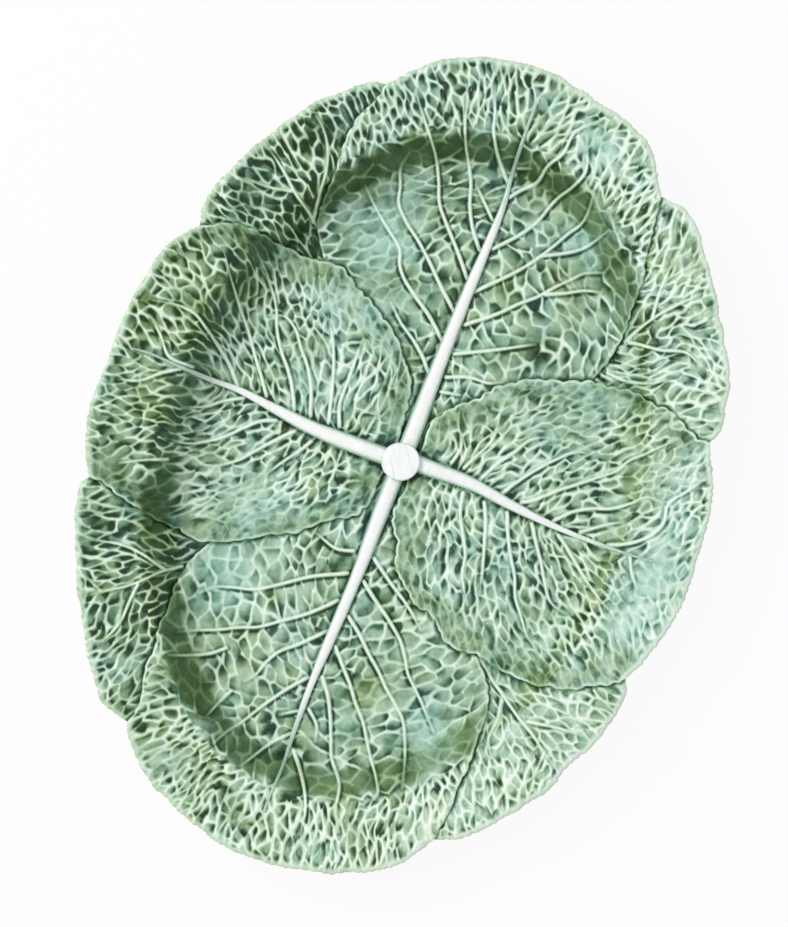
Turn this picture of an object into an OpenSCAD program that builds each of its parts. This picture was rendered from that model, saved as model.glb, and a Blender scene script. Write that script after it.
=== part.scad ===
// Oval cabbage-leaf platter in glazed earthenware.
// Eight overlapping leaves form one dished oval: two side leaves on top, two end leaves under them,
// and four corner leaves at the bottom. White midribs run out from a cut stem end in the middle.
// +X points to one end of the platter, +Y to one side, +Z up. The foot ring stands on Z = 0.

/* [Platter] */
// Length over the tips of the two end leaves
length = 430; // [320:5:560]
// Width over the tips of the two side leaves
width = 320; // [240:5:420]
// Height of the rim's outer edge over the table
height = 45; // [36:1:64]

/* [Dish] */
// Width of the rim, from its outer edge to the top of the wall
rim_w = 38; // [28:1:46]
// Width of the sloping wall, seen from above
wall_w = 18; // [13:1:26]
// How far the rim climbs towards its outer edge
rim_rise = 7; // [2:0.5:12]
// How far the wall's outside stands out from its inside
wall_t = 4; // [2.5:0.5:6]
// Thickness of the floor
floor_t = 6; // [4.5:0.5:9]
// Thickness of the rim
rim_t = 4.5; // [3.5:0.5:7]

/* [Leaves] */
// Step from one layer of leaves up to the next
layer_step = 1.2; // [0.6:0.1:2.4]
// Height of the rolled bead along the edge of an upper leaf
edge_bead = 0.8; // [0:0.1:1.6]
// Depth of the groove beside that edge, in the leaf below
edge_groove = 0.8; // [0:0.1:1.4]
// Height of the side veins over the blade
vein_h = 1.3; // [0:0.1:1.8]
// Depth of the hollows between the side veins
vein_dip = 0.7; // [0:0.1:1.2]
// How far the side veins bow back from a straight line
vein_bow = 5; // [0:1:12]
// How far the platter's outer edge is rounded down
lip_drop = 0.8; // [0:0.1:1.4]

/* [Midribs] */
// Width of a midrib where it leaves the stem end
rib_w = 9.5; // [6:0.5:12]
// Width of a midrib at its blunt tip
rib_tip_w = 1.4; // [1:0.2:3]
// Height of a midrib over its leaf, beside the stem end
rib_h = 4; // [2:0.5:6]
// Height of a midrib over its leaf, at its blunt tip
rib_tip_h = 0.8; // [0.4:0.2:2]
// Depth of the groove in the leaf along each side of its midrib
rib_groove = 0.6; // [0:0.1:1.2]

/* [Stem end] */
// Diameter of the cut stem end
stem_d = 20; // [16:1:25]
// Height of the stem end over the midribs that run into it
stem_cap_h = 2; // [1.5:0.25:4]
// Width and height of the bevel round its top
stem_bevel = 0.8; // [0.4:0.1:1.4]

/* [Foot ring] */
// Height of the foot ring
foot_h = 4.5; // [3:0.5:8]
// Width of the foot ring
foot_w = 7; // [4:0.5:12]
// Distance from the foot of the wall in to the foot ring
foot_inset = 10; // [6:1:20]

/* [Hidden] */

glaze_green = "#9fc9a6";
corner_green = "#86b892";
rib_white = "#e9efe3";
clay_white = "#f1efe6";

half_l = length / 2;
half_w = width / 2;
stem_r = stem_d / 2;
floor_z = foot_h + floor_t;
edge_z = height - 2 * layer_step;
wall_top_z = edge_z - rim_rise;

// Leaves are numbered 0 east (+X), 1 north (+Y), 2 west and 3 south. Quadrant q lies between leaf q
// and leaf q + 1. All places in plan are shares of half the length and half the width.
function plan(share) = [share[0] * half_l, share[1] * half_w];
function out_dir(k) = [cos(90 * k), sin(90 * k)];
function is_end_leaf(k) = k % 2 == 0;

// The stem end stands a little off the middle, towards the east leaf
stem_share = [0.008, 0];
stem_c = plan(stem_share);

// Where one large leaf lies on the next, from the stem end out to the corner leaf, by quadrant
inner_edge_shares = [
    [[0.121, 0.059], [0.186, 0.075], [0.256, 0.119], [0.316, 0.2], [0.367, 0.325], [0.402, 0.463]],
    [[-0.102, 0.056], [-0.158, 0.094], [-0.209, 0.194], [-0.265, 0.312], [-0.307, 0.412], [-0.335, 0.5]],
    [[-0.112, -0.053], [-0.181, -0.078], [-0.251, -0.122], [-0.312, -0.225], [-0.358, -0.331],
        [-0.372, -0.444]],
    [[0.112, -0.062], [0.167, -0.097], [0.223, -0.175], [0.279, -0.256], [0.316, -0.356], [0.347, -0.487]]
];
// Where the large leaves lie on the corner leaf, out to the notch in the rim: first the edge of
// leaf q, then the edge of leaf q + 1
outer_edge_shares = [
    [[[0.465, 0.512], [0.581, 0.522], [0.712, 0.512], [0.842, 0.456]],
        [[0.4, 0.575], [0.409, 0.7], [0.393, 0.794], [0.372, 0.863]]],
    [[[-0.33, 0.606], [-0.316, 0.706], [-0.293, 0.825], [-0.279, 0.919]],
        [[-0.419, 0.544], [-0.535, 0.55], [-0.674, 0.537], [-0.795, 0.537]]],
    [[[-0.433, -0.512], [-0.526, -0.541], [-0.665, -0.534], [-0.809, -0.519]],
        [[-0.384, -0.562], [-0.377, -0.688], [-0.344, -0.812], [-0.293, -0.912]]],
    [[[0.358, -0.606], [0.344, -0.719], [0.323, -0.812], [0.307, -0.906]],
        [[0.419, -0.525], [0.544, -0.537], [0.684, -0.516], [0.814, -0.494]]]
];
// The rim of each large leaf from its left notch to its right one, with its tip in the middle
lobe_shares = [
    [[0.93, 0.338], [0.979, 0.188], [1, -0.016], [0.977, -0.2], [0.926, -0.381]],
    [[-0.214, 0.969], [-0.093, 0.994], [0.042, 1], [0.177, 0.981], [0.293, 0.944]],
    [[-0.916, -0.388], [-0.977, -0.2], [-1, 0.025], [-0.977, 0.212], [-0.907, 0.412]],
    [[0.223, -0.956], [0.102, -0.994], [-0.005, -1], [-0.116, -0.994], [-0.219, -0.956]]
];
// The rim of each corner leaf, from the notch of leaf q to the notch of leaf q + 1
corner_lobe_shares = [
    [[0.823, 0.537], [0.73, 0.662], [0.605, 0.775], [0.488, 0.856], [0.419, 0.872]],
    [[-0.349, 0.931], [-0.47, 0.875], [-0.6, 0.794], [-0.712, 0.706], [-0.781, 0.606]],
    [[-0.791, -0.581], [-0.721, -0.681], [-0.605, -0.8], [-0.479, -0.881], [-0.367, -0.925]],
    [[0.367, -0.925], [0.484, -0.887], [0.6, -0.8], [0.712, -0.7], [0.795, -0.581]]
];
// The midribs' middle lines between the stem end and the tips of their leaves
rib_shares = [
    [[0.279, -0.009], [0.558, -0.025], [0.791, -0.022]],
    [[0.014, 0.312], [0.037, 0.575], [0.042, 0.794]],
    [[-0.279, 0.006], [-0.535, 0.025], [-0.767, 0.025]],
    [[0.014, -0.281], [-0.009, -0.531], [-0.014, -0.769]]
];

// Each half of a large leaf is a mesh of rows, which run from the midrib to the margin as side
// veins do. So many rows end on the inner edge, on the outer edge and on the rim.
inner_rows = 12;
outer_rows = 12;
lobe_rows = 14;
rows = inner_rows + outer_rows + lobe_rows;
columns = 10;
corner_columns = 16;
rib_rows = rows - 2;
// The rows that carry a side vein, for the left and the right half of each large leaf
vein_rows = [
    [[3, 6, 9, 12, 16, 20, 25, 28, 31, 34], [2, 5, 8, 11, 14, 18, 22, 27, 30, 33]],
    [[3, 6, 9, 13, 16, 20, 25, 28, 31, 34], [4, 8, 11, 14, 18, 23, 26, 30, 33]],
    [[3, 6, 9, 12, 16, 19, 22, 26, 29, 32], [3, 6, 9, 11, 14, 18, 23, 26, 29, 33]],
    [[3, 6, 9, 13, 17, 22, 26, 28, 31, 34], [3, 6, 10, 15, 20, 24, 27, 30, 33]]
];
// How far along the midrib the rows to the two ends of the outer edge start: first on the end
// leaves, then on the side leaves, whose veins lean further forward
rib_join_shares = [[0.38, 0.54], [0.22, 0.42]];
// How much of a row a vein or a hollow takes to fade, and how many rows from the stem end
fade_share = 0.25;
fade_rows = 4;
// How high a side vein still is at the margin, against its height at the midrib
vein_end_share = 0.55;
// Rows from one side vein of a corner leaf to the next, and how late its rows bend like its rim
corner_vein_step = 3;
corner_ease = 2;
// How much of the rim beside the tip belongs to the last row, and how fast a midrib narrows
tip_share = 0.12;
taper_share = 0.75;
// Where the flat top of a midrib starts, across its width, and how high its sides stand there
rib_shoulder_share = 0.3;
rib_side_share = 0.25;
rib_sides = 6;
foot_sides = 96;

function mix(a, b, t) = a + (b - a) * t;
function clamp01(t) = max(0, min(1, t));
function smooth(t) = let (c = clamp01(t)) c * c * (3 - 2 * c);
function flatten(list) = [for (part = list) each part];
function turned(faces) = [for (face = faces) [for (i = [len(face) - 1 : -1 : 0]) face[i]]];

// A curve through the points p, which passes p[i] at t = i
function curve(p, t) =
    let (
        last = len(p) - 1,
        i = min(floor(t), last - 1),
        f = t - i,
        before = i > 0 ? p[i - 1] : 2 * p[0] - p[1],
        after = i + 2 <= last ? p[i + 2] : 2 * p[last] - p[last - 1],
        slope_a = (p[i + 1] - before) / 2,
        slope_b = (after - p[i]) / 2
    )
    p[i] * (2 * f * f * f - 3 * f * f + 1) + slope_a * (f * f * f - 2 * f * f + f)
    + p[i + 1] * (3 * f * f - 2 * f * f * f) + slope_b * (f * f * f - f * f);
function along(p, count) = [for (i = [0 : count]) curve(p, i / count * (len(p) - 1))];
function places(shares) = [for (share = shares) plan(share)];

// The dish: an oval profile that depends on how far a point lies inside the outer oval
function inset(p, low = 0, high = 0, turns = 16) =
    high == 0 ? inset(p, -rim_w, half_w, turns) :
    turns == 0 ? (low + high) / 2 :
    let (
        middle = (low + high) / 2,
        x = p[0] / (half_l - middle),
        y = p[1] / (half_w - middle)
    )
    x * x + y * y < 1 ? inset(p, middle, high, turns - 1) : inset(p, low, middle, turns - 1);
function profile(d) =
    d < rim_w
        ? wall_top_z + rim_rise * (1 - d / rim_w)
        : mix(wall_top_z, floor_z, smooth((d - rim_w) / wall_w));
function dish_z(p) = profile(inset(p));
function under_z(p) =
    let (d = inset(p))
    profile(d + wall_t) - mix(rim_t, floor_t, smooth(d / rim_w));

// Boundaries that neighbours share, as lists of places in plan
rib_angle = asin(rib_w / stem_d);
function stem_point(angle) = stem_c + stem_r * [cos(angle), sin(angle)];
inner_edges = [
    for (q = [0 : 3])
        along(concat([stem_point(90 * q + 45)], places(inner_edge_shares[q])), inner_rows)
];
outer_edges = [
    for (q = [0 : 3]) [
        for (shares = outer_edge_shares[q])
            along(concat([inner_edges[q][inner_rows]], places(shares)), outer_rows)
    ]
];
function notch(q, side) = outer_edges[q][side][outer_rows];
lobes = [
    for (k = [0 : 3])
        concat([notch(k, 0)], places(lobe_shares[k]), [notch((k + 3) % 4, 1)])
];
corner_lobes = [
    for (q = [0 : 3])
        along(concat([notch(q, 0)], places(corner_lobe_shares[q]), [notch(q, 1)]), corner_columns)
];

// Half 0 of a leaf lies to the left of its midrib, looking out from the stem, and half 1 to the right
function side_sign(half) = 1 - 2 * half;
function quadrant(k, half) = (k + 3 * half) % 4;
function lobe_point(k, half, t) =
    let (tip_at = (len(lobes[k]) - 1) / 2)
    curve(lobes[k], tip_at - side_sign(half) * tip_at * (1 - t));
function margin(k, half) =
    let (
        q = quadrant(k, half),
        edge = outer_edges[q][half],
        rim = [for (i = [1 : lobe_rows]) lobe_point(k, half, i / lobe_rows * (1 - tip_share))]
    )
    concat(inner_edges[q], [for (i = [1 : outer_rows]) edge[i]], rim);

// Midrib lines
function rib_line(k) =
    concat(
        [stem_c + stem_r * cos(rib_angle) * out_dir(k)],
        places(rib_shares[k]),
        [lobe_point(k, 0, 1)]
    );
function rib_share(k, row) =
    let (join = rib_join_shares[k % 2])
    row <= inner_rows ? join[0] * row / inner_rows
    : row <= inner_rows + outer_rows ? mix(join[0], join[1], (row - inner_rows) / outer_rows)
    : mix(join[1], 1, (row - inner_rows - outer_rows) / lobe_rows);
function rib_taper(k, row) = pow(1 - rib_share(k, row) / rib_share(k, rib_rows), taper_share);
function rib_width(k, row) = row > rib_rows ? 0 : mix(rib_tip_w, rib_w, rib_taper(k, row));
function rib_rail(k, half) =
    let (line = rib_line(k), across = side_sign(half) * out_dir(k + 1) / 2)
    [
        for (row = [0 : rows])
            curve(line, rib_share(k, row) * (len(line) - 1)) + across * rib_width(k, row)
    ];

// A patch between two rails a and b and two end lines c and d, as rows of places in plan. The shape
// of the end lines reaches less far into the patch where ease is over 1.
function patch(a, b, c, d, ease = 1) =
    let (n = len(a) - 1, m = len(c) - 1)
    [
        for (i = [0 : n]) [
            for (j = [0 : m])
                let (u = pow(i / n, ease), v = j / m)
                mix(a[i], b[i], v) + mix(c[j], d[j], u)
                - mix(mix(a[0], b[0], v), mix(a[n], b[n], v), u)
        ]
    ];
// How far a place on a row bows back: 0 all round the half leaf, and 1 where it is fullest
function bow(u, v) = 27 * u * (1 - u) * v * (1 - v) * (1 - v);
function half_plan(k, half) =
    let (
        q = quadrant(k, half),
        start = 90 * k + side_sign(half) * rib_angle,
        stop = 90 * q + 45 + 360 * (k == 0 ? -half : 0),
        arc = [for (j = [0 : columns]) stem_point(mix(start, stop, j / columns))],
        tip = [for (j = [0 : columns]) lobe_point(k, half, 1 - tip_share * j / columns)],
        flat = patch(rib_rail(k, half), margin(k, half), arc, tip)
    )
    [
        for (i = [0 : rows]) [
            for (j = [0 : columns])
                let (u = i / rows, v = j / columns)
                flat[i][j] - out_dir(k) * vein_bow * bow(u, v)
        ]
    ];
function corner_plan(q) =
    patch(
        outer_edges[q][0],
        outer_edges[q][1],
        [for (j = [0 : corner_columns]) inner_edges[q][inner_rows]],
        corner_lobes[q],
        corner_ease
    );

// Relief of the leaves. A side vein is full where it leaves the midrib and sinks towards the margin,
// and the hollow between two veins fades at both ends.
function is_vein(k, half, row) = len([for (vein = vein_rows[k][half]) if (vein == row) vein]) > 0;
function half_relief(k, half, row, column) =
    let (
        v = column / columns,
        on_vein = is_vein(k, half, row),
        fade = smooth((1 - v) / fade_share) * smooth(row / fade_rows),
        vein = vein_h * mix(1, vein_end_share, v) * fade,
        hollow = -vein_dip * smooth(v / fade_share) * fade,
        beside_rib = column == 0 && row <= rib_rows && !on_vein ? -rib_groove : 0,
        on_edge = is_end_leaf(k) && row < inner_rows ? -edge_groove : edge_bead,
        at_margin = column == columns ? (row <= inner_rows + outer_rows ? on_edge : -lip_drop) : 0
    )
    row == rows ? -lip_drop : row == 0 ? 0 : (on_vein ? vein : hollow) + beside_rib + at_margin;
function corner_relief(row, column) =
    let (
        from_rib = abs(column - corner_columns / 2),
        branch = (row - from_rib) % corner_vein_step == 0 ? vein_h / 2 : -vein_dip
    )
    row == outer_rows ? -lip_drop
    : row == 0 || column == 0 || column == corner_columns ? -edge_groove
    : (from_rib == 0 ? vein_h : branch) * smooth(row / fade_rows);
function layer_z(k) = layer_step * (is_end_leaf(k) ? 1 : 2);

function top_points(flat, lift, relief) = [
    for (i = [0 : len(flat) - 1]) [
        for (j = [0 : len(flat[i]) - 1])
            [flat[i][j][0], flat[i][j][1], dish_z(flat[i][j]) + lift + relief[i][j]]
    ]
];
function under_points(flat) = [
    for (row = flat) [for (p = row) [p[0], p[1], under_z(p)]]
];

// Meshes between a grid of top points and a grid of under points, whose numbers depend on their half
// leaf, on their face (0 top, 1 under) and on their row and column. Halves of one leaf share the
// points beyond the midrib, which ends at row stop. A pinched mesh has all of row 0 in one point.
// On the underside the cells are twice as large. Along its border they are split from a border point.
function point_no(n, m, half, face, i, j) = ((half * 2 + face) * (n + 1) + i) * (m + 1) + j;
// A cell is split between the two opposite corners that are nearer in height
function is_level(grid, i, j, step) =
    abs(grid[i][j][2] - grid[i + step][j + step][2]) < abs(grid[i + step][j][2] - grid[i][j + step][2]);
function cell_fan(corners, apex) =
    let (
        last = len(corners) - 1,
        ring = [for (i = [0 : last]) if (corners[i] != corners[i < last ? i + 1 : 0]) corners[i]],
        count = len(ring),
        at = search([apex], ring)[0]
    )
    [for (i = [1 : count - 2]) [apex, ring[(at + i) % count], ring[(at + i + 1) % count]]];
function mesh_faces(tops, unders, stop, half, pinched = false) =
    let (
        n = len(tops) - 1,
        m = len(tops[0]) - 1,
        no = function (face, i, j)
            point_no(n, m, j == 0 && i > stop ? 0 : half, face, i, pinched && i == 0 ? 0 : j),
        top = function (i, j) no(0, i, j),
        under = function (i, j) no(1, i, j),
        top_faces = [
            for (i = [0 : n - 1]) for (j = [0 : m - 1])
                let (ring = [top(i, j), top(i, j + 1), top(i + 1, j + 1), top(i + 1, j)])
                each cell_fan(ring, is_level(tops, i, j, 1) ? top(i, j) : top(i + 1, j))
        ],
        under_faces = [
            for (i = [0 : 2 : n - 2]) for (j = [0 : 2 : m - 2])
                let (
                    ring = [
                        under(i, j),
                        if (j == 0 && i < stop) under(i + 1, j),
                        under(i + 2, j),
                        if (i + 2 == n) under(i + 2, j + 1),
                        under(i + 2, j + 2),
                        if (j + 2 == m) under(i + 1, j + 2),
                        under(i, j + 2),
                        if (i == 0) under(i, j + 1)
                    ],
                    apex = j == 0 && i < stop ? under(i + 1, j)
                        : j + 2 == m ? under(i + 1, j + 2)
                        : i + 2 == n ? under(i + 2, j + 1)
                        : i == 0 ? under(i, j + 1)
                        : is_level(unders, i, j, 2) ? under(i, j)
                        : under(i + 2, j)
                )
                each cell_fan(ring, apex)
        ],
        border = concat(
            [for (i = [0 : stop]) [i, 0]],
            [for (j = [0 : m]) [n, j]],
            [for (i = [n - 1 : -1 : 0]) [i, m]],
            [for (j = [m - 1 : -1 : 0]) [0, j]]
        ),
        walls = [
            for (i = [0 : len(border) - 2])
                let (p = border[i], r = border[i + 1])
                if (top(p[0], p[1]) != top(r[0], r[1]) && !(p == [stop, 0] && r == [n, 0]))
                    [top(p[0], p[1]), top(r[0], r[1]), under(r[0], r[1]), under(p[0], p[1])]
        ]
    )
    concat(top_faces, under_faces, walls);

module large_leaf(k) {
    plans = [for (half = [0, 1]) half_plan(k, half)];
    reliefs = [
        for (half = [0, 1])
            [for (i = [0 : rows]) [for (j = [0 : columns]) half_relief(k, half, i, j)]]
    ];
    tops = [for (half = [0, 1]) top_points(plans[half], layer_z(k), reliefs[half])];
    unders = [for (flat = plans) under_points(flat)];
    no = function (half, face, i) point_no(rows, columns, half, face, i, 0);
    // The blade closes round the blunt tip of its midrib
    tip_faces = [
        [no(0, 0, rib_rows), no(0, 0, rib_rows + 1), no(1, 0, rib_rows)],
        [no(0, 1, rib_rows), no(1, 1, rib_rows), no(0, 1, rows)],
        [no(0, 0, rib_rows), no(1, 0, rib_rows), no(1, 1, rib_rows), no(0, 1, rib_rows)]
    ];
    polyhedron(
        [for (half = [0, 1]) each concat(flatten(tops[half]), flatten(unders[half]))],
        concat(
            mesh_faces(tops[0], unders[0], rib_rows, 0),
            turned(mesh_faces(tops[1], unders[1], rib_rows, 1)),
            tip_faces
        )
    );
}

module corner_leaf(q) {
    relief = [for (i = [0 : outer_rows]) [for (j = [0 : corner_columns]) corner_relief(i, j)]];
    flat = corner_plan(q);
    tops = top_points(flat, 0, relief);
    unders = under_points(flat);
    polyhedron(
        concat(flatten(tops), flatten(unders)),
        mesh_faces(tops, unders, outer_rows, 0, pinched = true)
    );
}

// A solid through rings of equally many points, with a flat cap at each end
module loft(rings) {
    count = len(rings[0]);
    last = len(rings) - 1;
    sides = [
        for (i = [0 : last - 1]) for (j = [0 : count - 1])
            let (a = i * count + j, b = i * count + (j + 1) % count)
            each [[a, b + count, b], [a, a + count, b + count]]
    ];
    caps = [
        [for (j = [0 : count - 1]) j],
        [for (j = [count - 1 : -1 : 0]) last * count + j]
    ];
    polyhedron(flatten(rings), concat(sides, caps));
}

module midrib(k) {
    left = rib_rail(k, 0);
    right = rib_rail(k, 1);
    loft([
        for (i = [0 : rib_rows])
            let (
                high = mix(rib_tip_h, rib_h, rib_taper(k, i)),
                crest = dish_z(mix(left[i], right[i], 0.5)) + layer_z(k) + high,
                at = function (share, z) let (p = mix(left[i], right[i], share)) [p[0], p[1], z],
                side = function (p) dish_z(p) + layer_z(k) + high * rib_side_share
            )
            [
                at(0, under_z(left[i])),
                at(0, side(left[i])),
                at(rib_shoulder_share, crest),
                at(1 - rib_shoulder_share, crest),
                at(1, side(right[i])),
                at(1, under_z(right[i]))
            ]
    ]);
}

module stem_end() {
    // Under the round cap, the stem is cut straight where each midrib meets it
    rim = [
        for (k = [0 : 3]) each concat(
            [for (j = [columns : -1 : 0]) half_plan(k, 1)[0][j]],
            [for (i = [1 : rib_sides - 1]) mix(rib_rail(k, 1)[0], rib_rail(k, 0)[0], i / rib_sides)],
            [for (j = [0 : columns - 1]) half_plan(k, 0)[0][j]]
        )
    ];
    cap_z = floor_z + layer_z(1) + rib_h;
    ring = function (r, z) [
        for (p = rim)
            let (out = p - stem_c)
            concat(stem_c + out * (r > 0 ? r / norm(out) : 1), [z])
    ];
    color(rib_white)
        loft([
            ring(0, foot_h),
            ring(0, cap_z),
            ring(stem_r, cap_z),
            ring(stem_r, cap_z + stem_cap_h - stem_bevel),
            ring(stem_r - stem_bevel, cap_z + stem_cap_h)
        ]);
}

module foot_ring() {
    outer = rim_w + wall_w + foot_inset;
    oval = function (d) [
        for (i = [0 : foot_sides - 1])
            let (a = 360 * i / foot_sides)
            [(half_l - d) * cos(a), (half_w - d) * sin(a)]
    ];
    color(clay_white)
        linear_extrude(foot_h)
            difference() {
                polygon(oval(outer));
                polygon(oval(outer + foot_w));
            }
}

stem_end();
color(rib_white) midrib(0);  // east_midrib
color(rib_white) midrib(1);  // north_midrib
color(rib_white) midrib(2);  // west_midrib
color(rib_white) midrib(3);  // south_midrib
color(glaze_green) large_leaf(0);  // east_leaf
color(glaze_green) large_leaf(1);  // north_leaf
color(glaze_green) large_leaf(2);  // west_leaf
color(glaze_green) large_leaf(3);  // south_leaf
color(corner_green) corner_leaf(0);  // northeast_corner_leaf
color(corner_green) corner_leaf(1);  // northwest_corner_leaf
color(corner_green) corner_leaf(2);  // southwest_corner_leaf
color(corner_green) corner_leaf(3);  // southeast_corner_leaf
foot_ring();
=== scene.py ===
"""Glazed looks of an oval serving platter moulded as overlapping cabbage leaves.

All plan sizes are in millimetres in the part's own frame: +X runs along the platter to its east leaf,
+Y to its north leaf, +Z up from the surface that the foot stands on.
"""

import math
from collections import namedtuple

import bpy
import numpy as np
from bpy.props import FloatProperty, FloatVectorProperty, IntProperty, PointerProperty
from bpy.types import Operator, Panel, PropertyGroup
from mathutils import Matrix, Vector
from mathutils.geometry import delaunay_2d_cdt


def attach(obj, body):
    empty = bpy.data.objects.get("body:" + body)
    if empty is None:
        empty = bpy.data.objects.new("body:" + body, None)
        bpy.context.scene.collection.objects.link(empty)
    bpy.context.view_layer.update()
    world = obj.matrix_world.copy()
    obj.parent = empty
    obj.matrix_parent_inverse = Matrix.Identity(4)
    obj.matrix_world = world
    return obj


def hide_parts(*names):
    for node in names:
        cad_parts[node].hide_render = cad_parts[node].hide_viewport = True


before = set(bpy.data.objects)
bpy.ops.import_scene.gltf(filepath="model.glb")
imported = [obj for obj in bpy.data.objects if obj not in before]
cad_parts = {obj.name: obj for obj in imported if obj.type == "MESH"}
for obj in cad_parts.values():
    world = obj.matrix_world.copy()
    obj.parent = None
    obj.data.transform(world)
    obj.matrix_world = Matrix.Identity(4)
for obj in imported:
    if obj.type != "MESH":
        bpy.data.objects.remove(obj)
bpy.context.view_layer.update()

bl_info = {
    "name": "Cabbage Platter",
    "version": (1, 0, 0),
    "blender": (4, 5, 0),
    "location": "View3D > Sidebar > Platter",
    "description": "Builds the glazed leaves, ribs, stem end and foot of a cabbage-leaf platter",
    "category": "Mesh",
}

MM = 0.001

# the dish that the leaves follow, in mm, as in the part's source
HALF_LENGTH, HALF_WIDTH = 215.0, 160.0
RIM_WIDTH, WALL_WIDTH = 38.0, 18.0
WALL_TOP, RIM_RISE, FLOOR_TOP = 35.6, 7.0, 10.5
WALL_THICK, FLOOR_THICK, RIM_THICK = 4.0, 6.0, 4.5
LAYER_STEP = 1.2
RUFFLE_PITCH = 7.5
STEM_CENTRE, STEM_RADIUS, STEM_TOP, STEM_FOOT = (1.8, 0.0), 10.0, 18.9, 11.2
FOOT_LENGTH, FOOT_WIDTH, FOOT_BAND = 149.0, 94.0, 7.0
# how far a midrib is set into its leaf, and how far its flanks go on below that
RIB_SINK, RIB_ROOT = 0.35, 1.4

# where the leaves end, read from above, anticlockwise from the east leaf's lower notch
RIMS = {
    "east": [(175, -79), (190, -70), (200, -60), (210, -30), (215, 0), (210, 32), (200, 54), (181, 73)],
    "northeast": [(181, 73), (178, 83), (170, 93), (160, 104), (145, 115), (130, 124), (115, 132),
                  (100, 138), (88, 140), (80, 138)],
    "north": [(80, 138), (76, 142), (68, 149), (60, 152), (40, 156), (20, 158), (0, 159), (-30, 158),
              (-45, 155), (-55, 150), (-60, 147)],
    "northwest": [(-60, 147), (-63, 149), (-75, 149), (-90, 144), (-105, 138), (-120, 131), (-135, 123),
                  (-150, 114), (-160, 107), (-168, 98), (-171, 86)],
    "west": [(-171, 86), (-176, 84), (-185, 77), (-193, 68), (-200, 57), (-207, 40), (-212, 25), (-215, 0),
             (-213, -18), (-207, -42), (-200, -58), (-190, -71), (-180, -78), (-174, -82)],
    "southwest": [(-174, -82), (-173, -87), (-165, -100), (-157, -108), (-145, -117), (-130, -128),
                  (-112, -136), (-95, -144), (-78, -148), (-68, -148), (-63, -146)],
    "south": [(-63, -146), (-58, -149), (-50, -152), (-35, -157), (-20, -160), (0, -160), (20, -159),
              (40, -156), (53, -151), (60, -148), (65, -145)],
    "southeast": [(65, -145), (70, -148), (78, -148), (90, -146), (104, -142), (118, -134), (128, -128),
                  (140, -121), (150, -113), (166, -102), (173, -91), (175, -79)],
}

# the side leaves' free edges, from the rim to the middle under the stem
SIDE_EDGES = {
    "northeast": [(80, 138), (83, 132), (88, 120), (88, 110), (86, 100), (86, 90), (85, 84), (86, 73),
                  (86, 62), (83, 57), (79, 52), (77, 47), (73, 40), (68, 32), (60, 22), (52, 16), (45, 10),
                  (35, 7), (25, 5.5), (15, 5), (8, 3.5), (1.8, 0)],
    "northwest": [(-60, 147), (-60, 140), (-63, 132), (-66, 122), (-68, 112), (-70, 103), (-71, 95),
                  (-73, 85), (-71, 78), (-68, 70), (-63, 60), (-58, 52), (-55, 45), (-50, 36), (-44, 30),
                  (-38, 22), (-33, 13), (-27, 9), (-20, 7), (-10, 7), (-4, 5), (1.8, 0)],
    "southwest": [(-63, -146), (-68, -141), (-73, -130), (-78, -122), (-80, -113), (-82, -105),
                  (-82.5, -88), (-81, -80), (-79, -72), (-80, -60), (-77, -52), (-71, -46), (-67, -40),
                  (-66, -33), (-60, -26), (-55, -20), (-50, -15.5), (-45, -14), (-38, -12.5), (-32, -8),
                  (-25, -5.5), (-15, -6), (-8, -7), (-3, -4), (1.8, 0)],
    "southeast": [(65, -145), (65, -140), (69, -130), (74, -120), (74, -112), (77, -100), (76, -90),
                  (75, -79), (71, -67), (68, -57), (65, -48), (60, -40), (54, -32), (46, -26), (40, -18),
                  (33, -12), (28, -8.5), (20, -7.5), (10, -7.5), (5, -4), (1.8, 0)],
}

# the end leaves' free edges over the corner leaves, from the rim to the side leaf that covers them
END_EDGES = {
    "northeast": [(181, 73), (170, 76), (163, 80), (155, 82), (148, 83), (140, 83), (130, 82.5), (120, 83),
                  (110, 84), (103, 83), (97, 80), (91, 76), (86, 73)],
    "northwest": [(-171, 86), (-165, 84), (-155, 84), (-148, 86), (-140, 87), (-130, 86), (-120, 88),
                  (-110, 87), (-100, 88), (-90, 87), (-83, 85), (-77, 82), (-72, 79)],
    "southwest": [(-174, -82), (-165, -83.5), (-155, -85), (-145, -84.5), (-135, -86), (-115, -86),
                  (-105, -86.5), (-98, -85), (-90, -81), (-84, -76), (-79, -71)],
    "southeast": [(175, -79), (165, -80), (150, -82), (140, -83), (133, -85), (120, -85), (100, -86),
                  (95, -85), (88, -84), (81, -81), (75, -79)],
}

# each midrib's middle and width from the stem to its tip: x, y, width
MIDRIBS = {
    "east": [(6, -0.6, 9.6), (20, -1, 9.5), (50, -1.5, 8), (100, -3, 6), (120, -4, 5), (150, -4.5, 3),
             (160, -3.5, 2.5), (180, -2.5, 2), (195, -2.5, 1.5), (203, -2.5, 0.9)],
    "west": [(-6, 0, 9.2), (-20, 0.5, 9), (-60, 1, 6.8), (-100, 3, 5.5), (-120, 4, 4), (-150, 4, 2.6),
             (-165, 3.5, 2), (-185, 4.5, 1.5), (-195, 4.5, 0.9)],
    "north": [(1.8, 6, 9.6), (1.8, 20, 9.5), (2.7, 50, 7.5), (6, 75, 5), (8, 90, 3.7), (8.2, 110, 2.6),
              (9, 125, 2), (10, 140, 1.5), (9, 153, 0.9)],
    "south": [(4.4, -5, 9.2), (4, -10, 9.2), (3.5, -40, 7), (0.5, -60, 5.5), (-1.8, -80, 4),
              (-3, -100, 2.6), (-3, -120, 1.9), (-2, -140, 1.3), (-1, -152, 0.9)],
}
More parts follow.
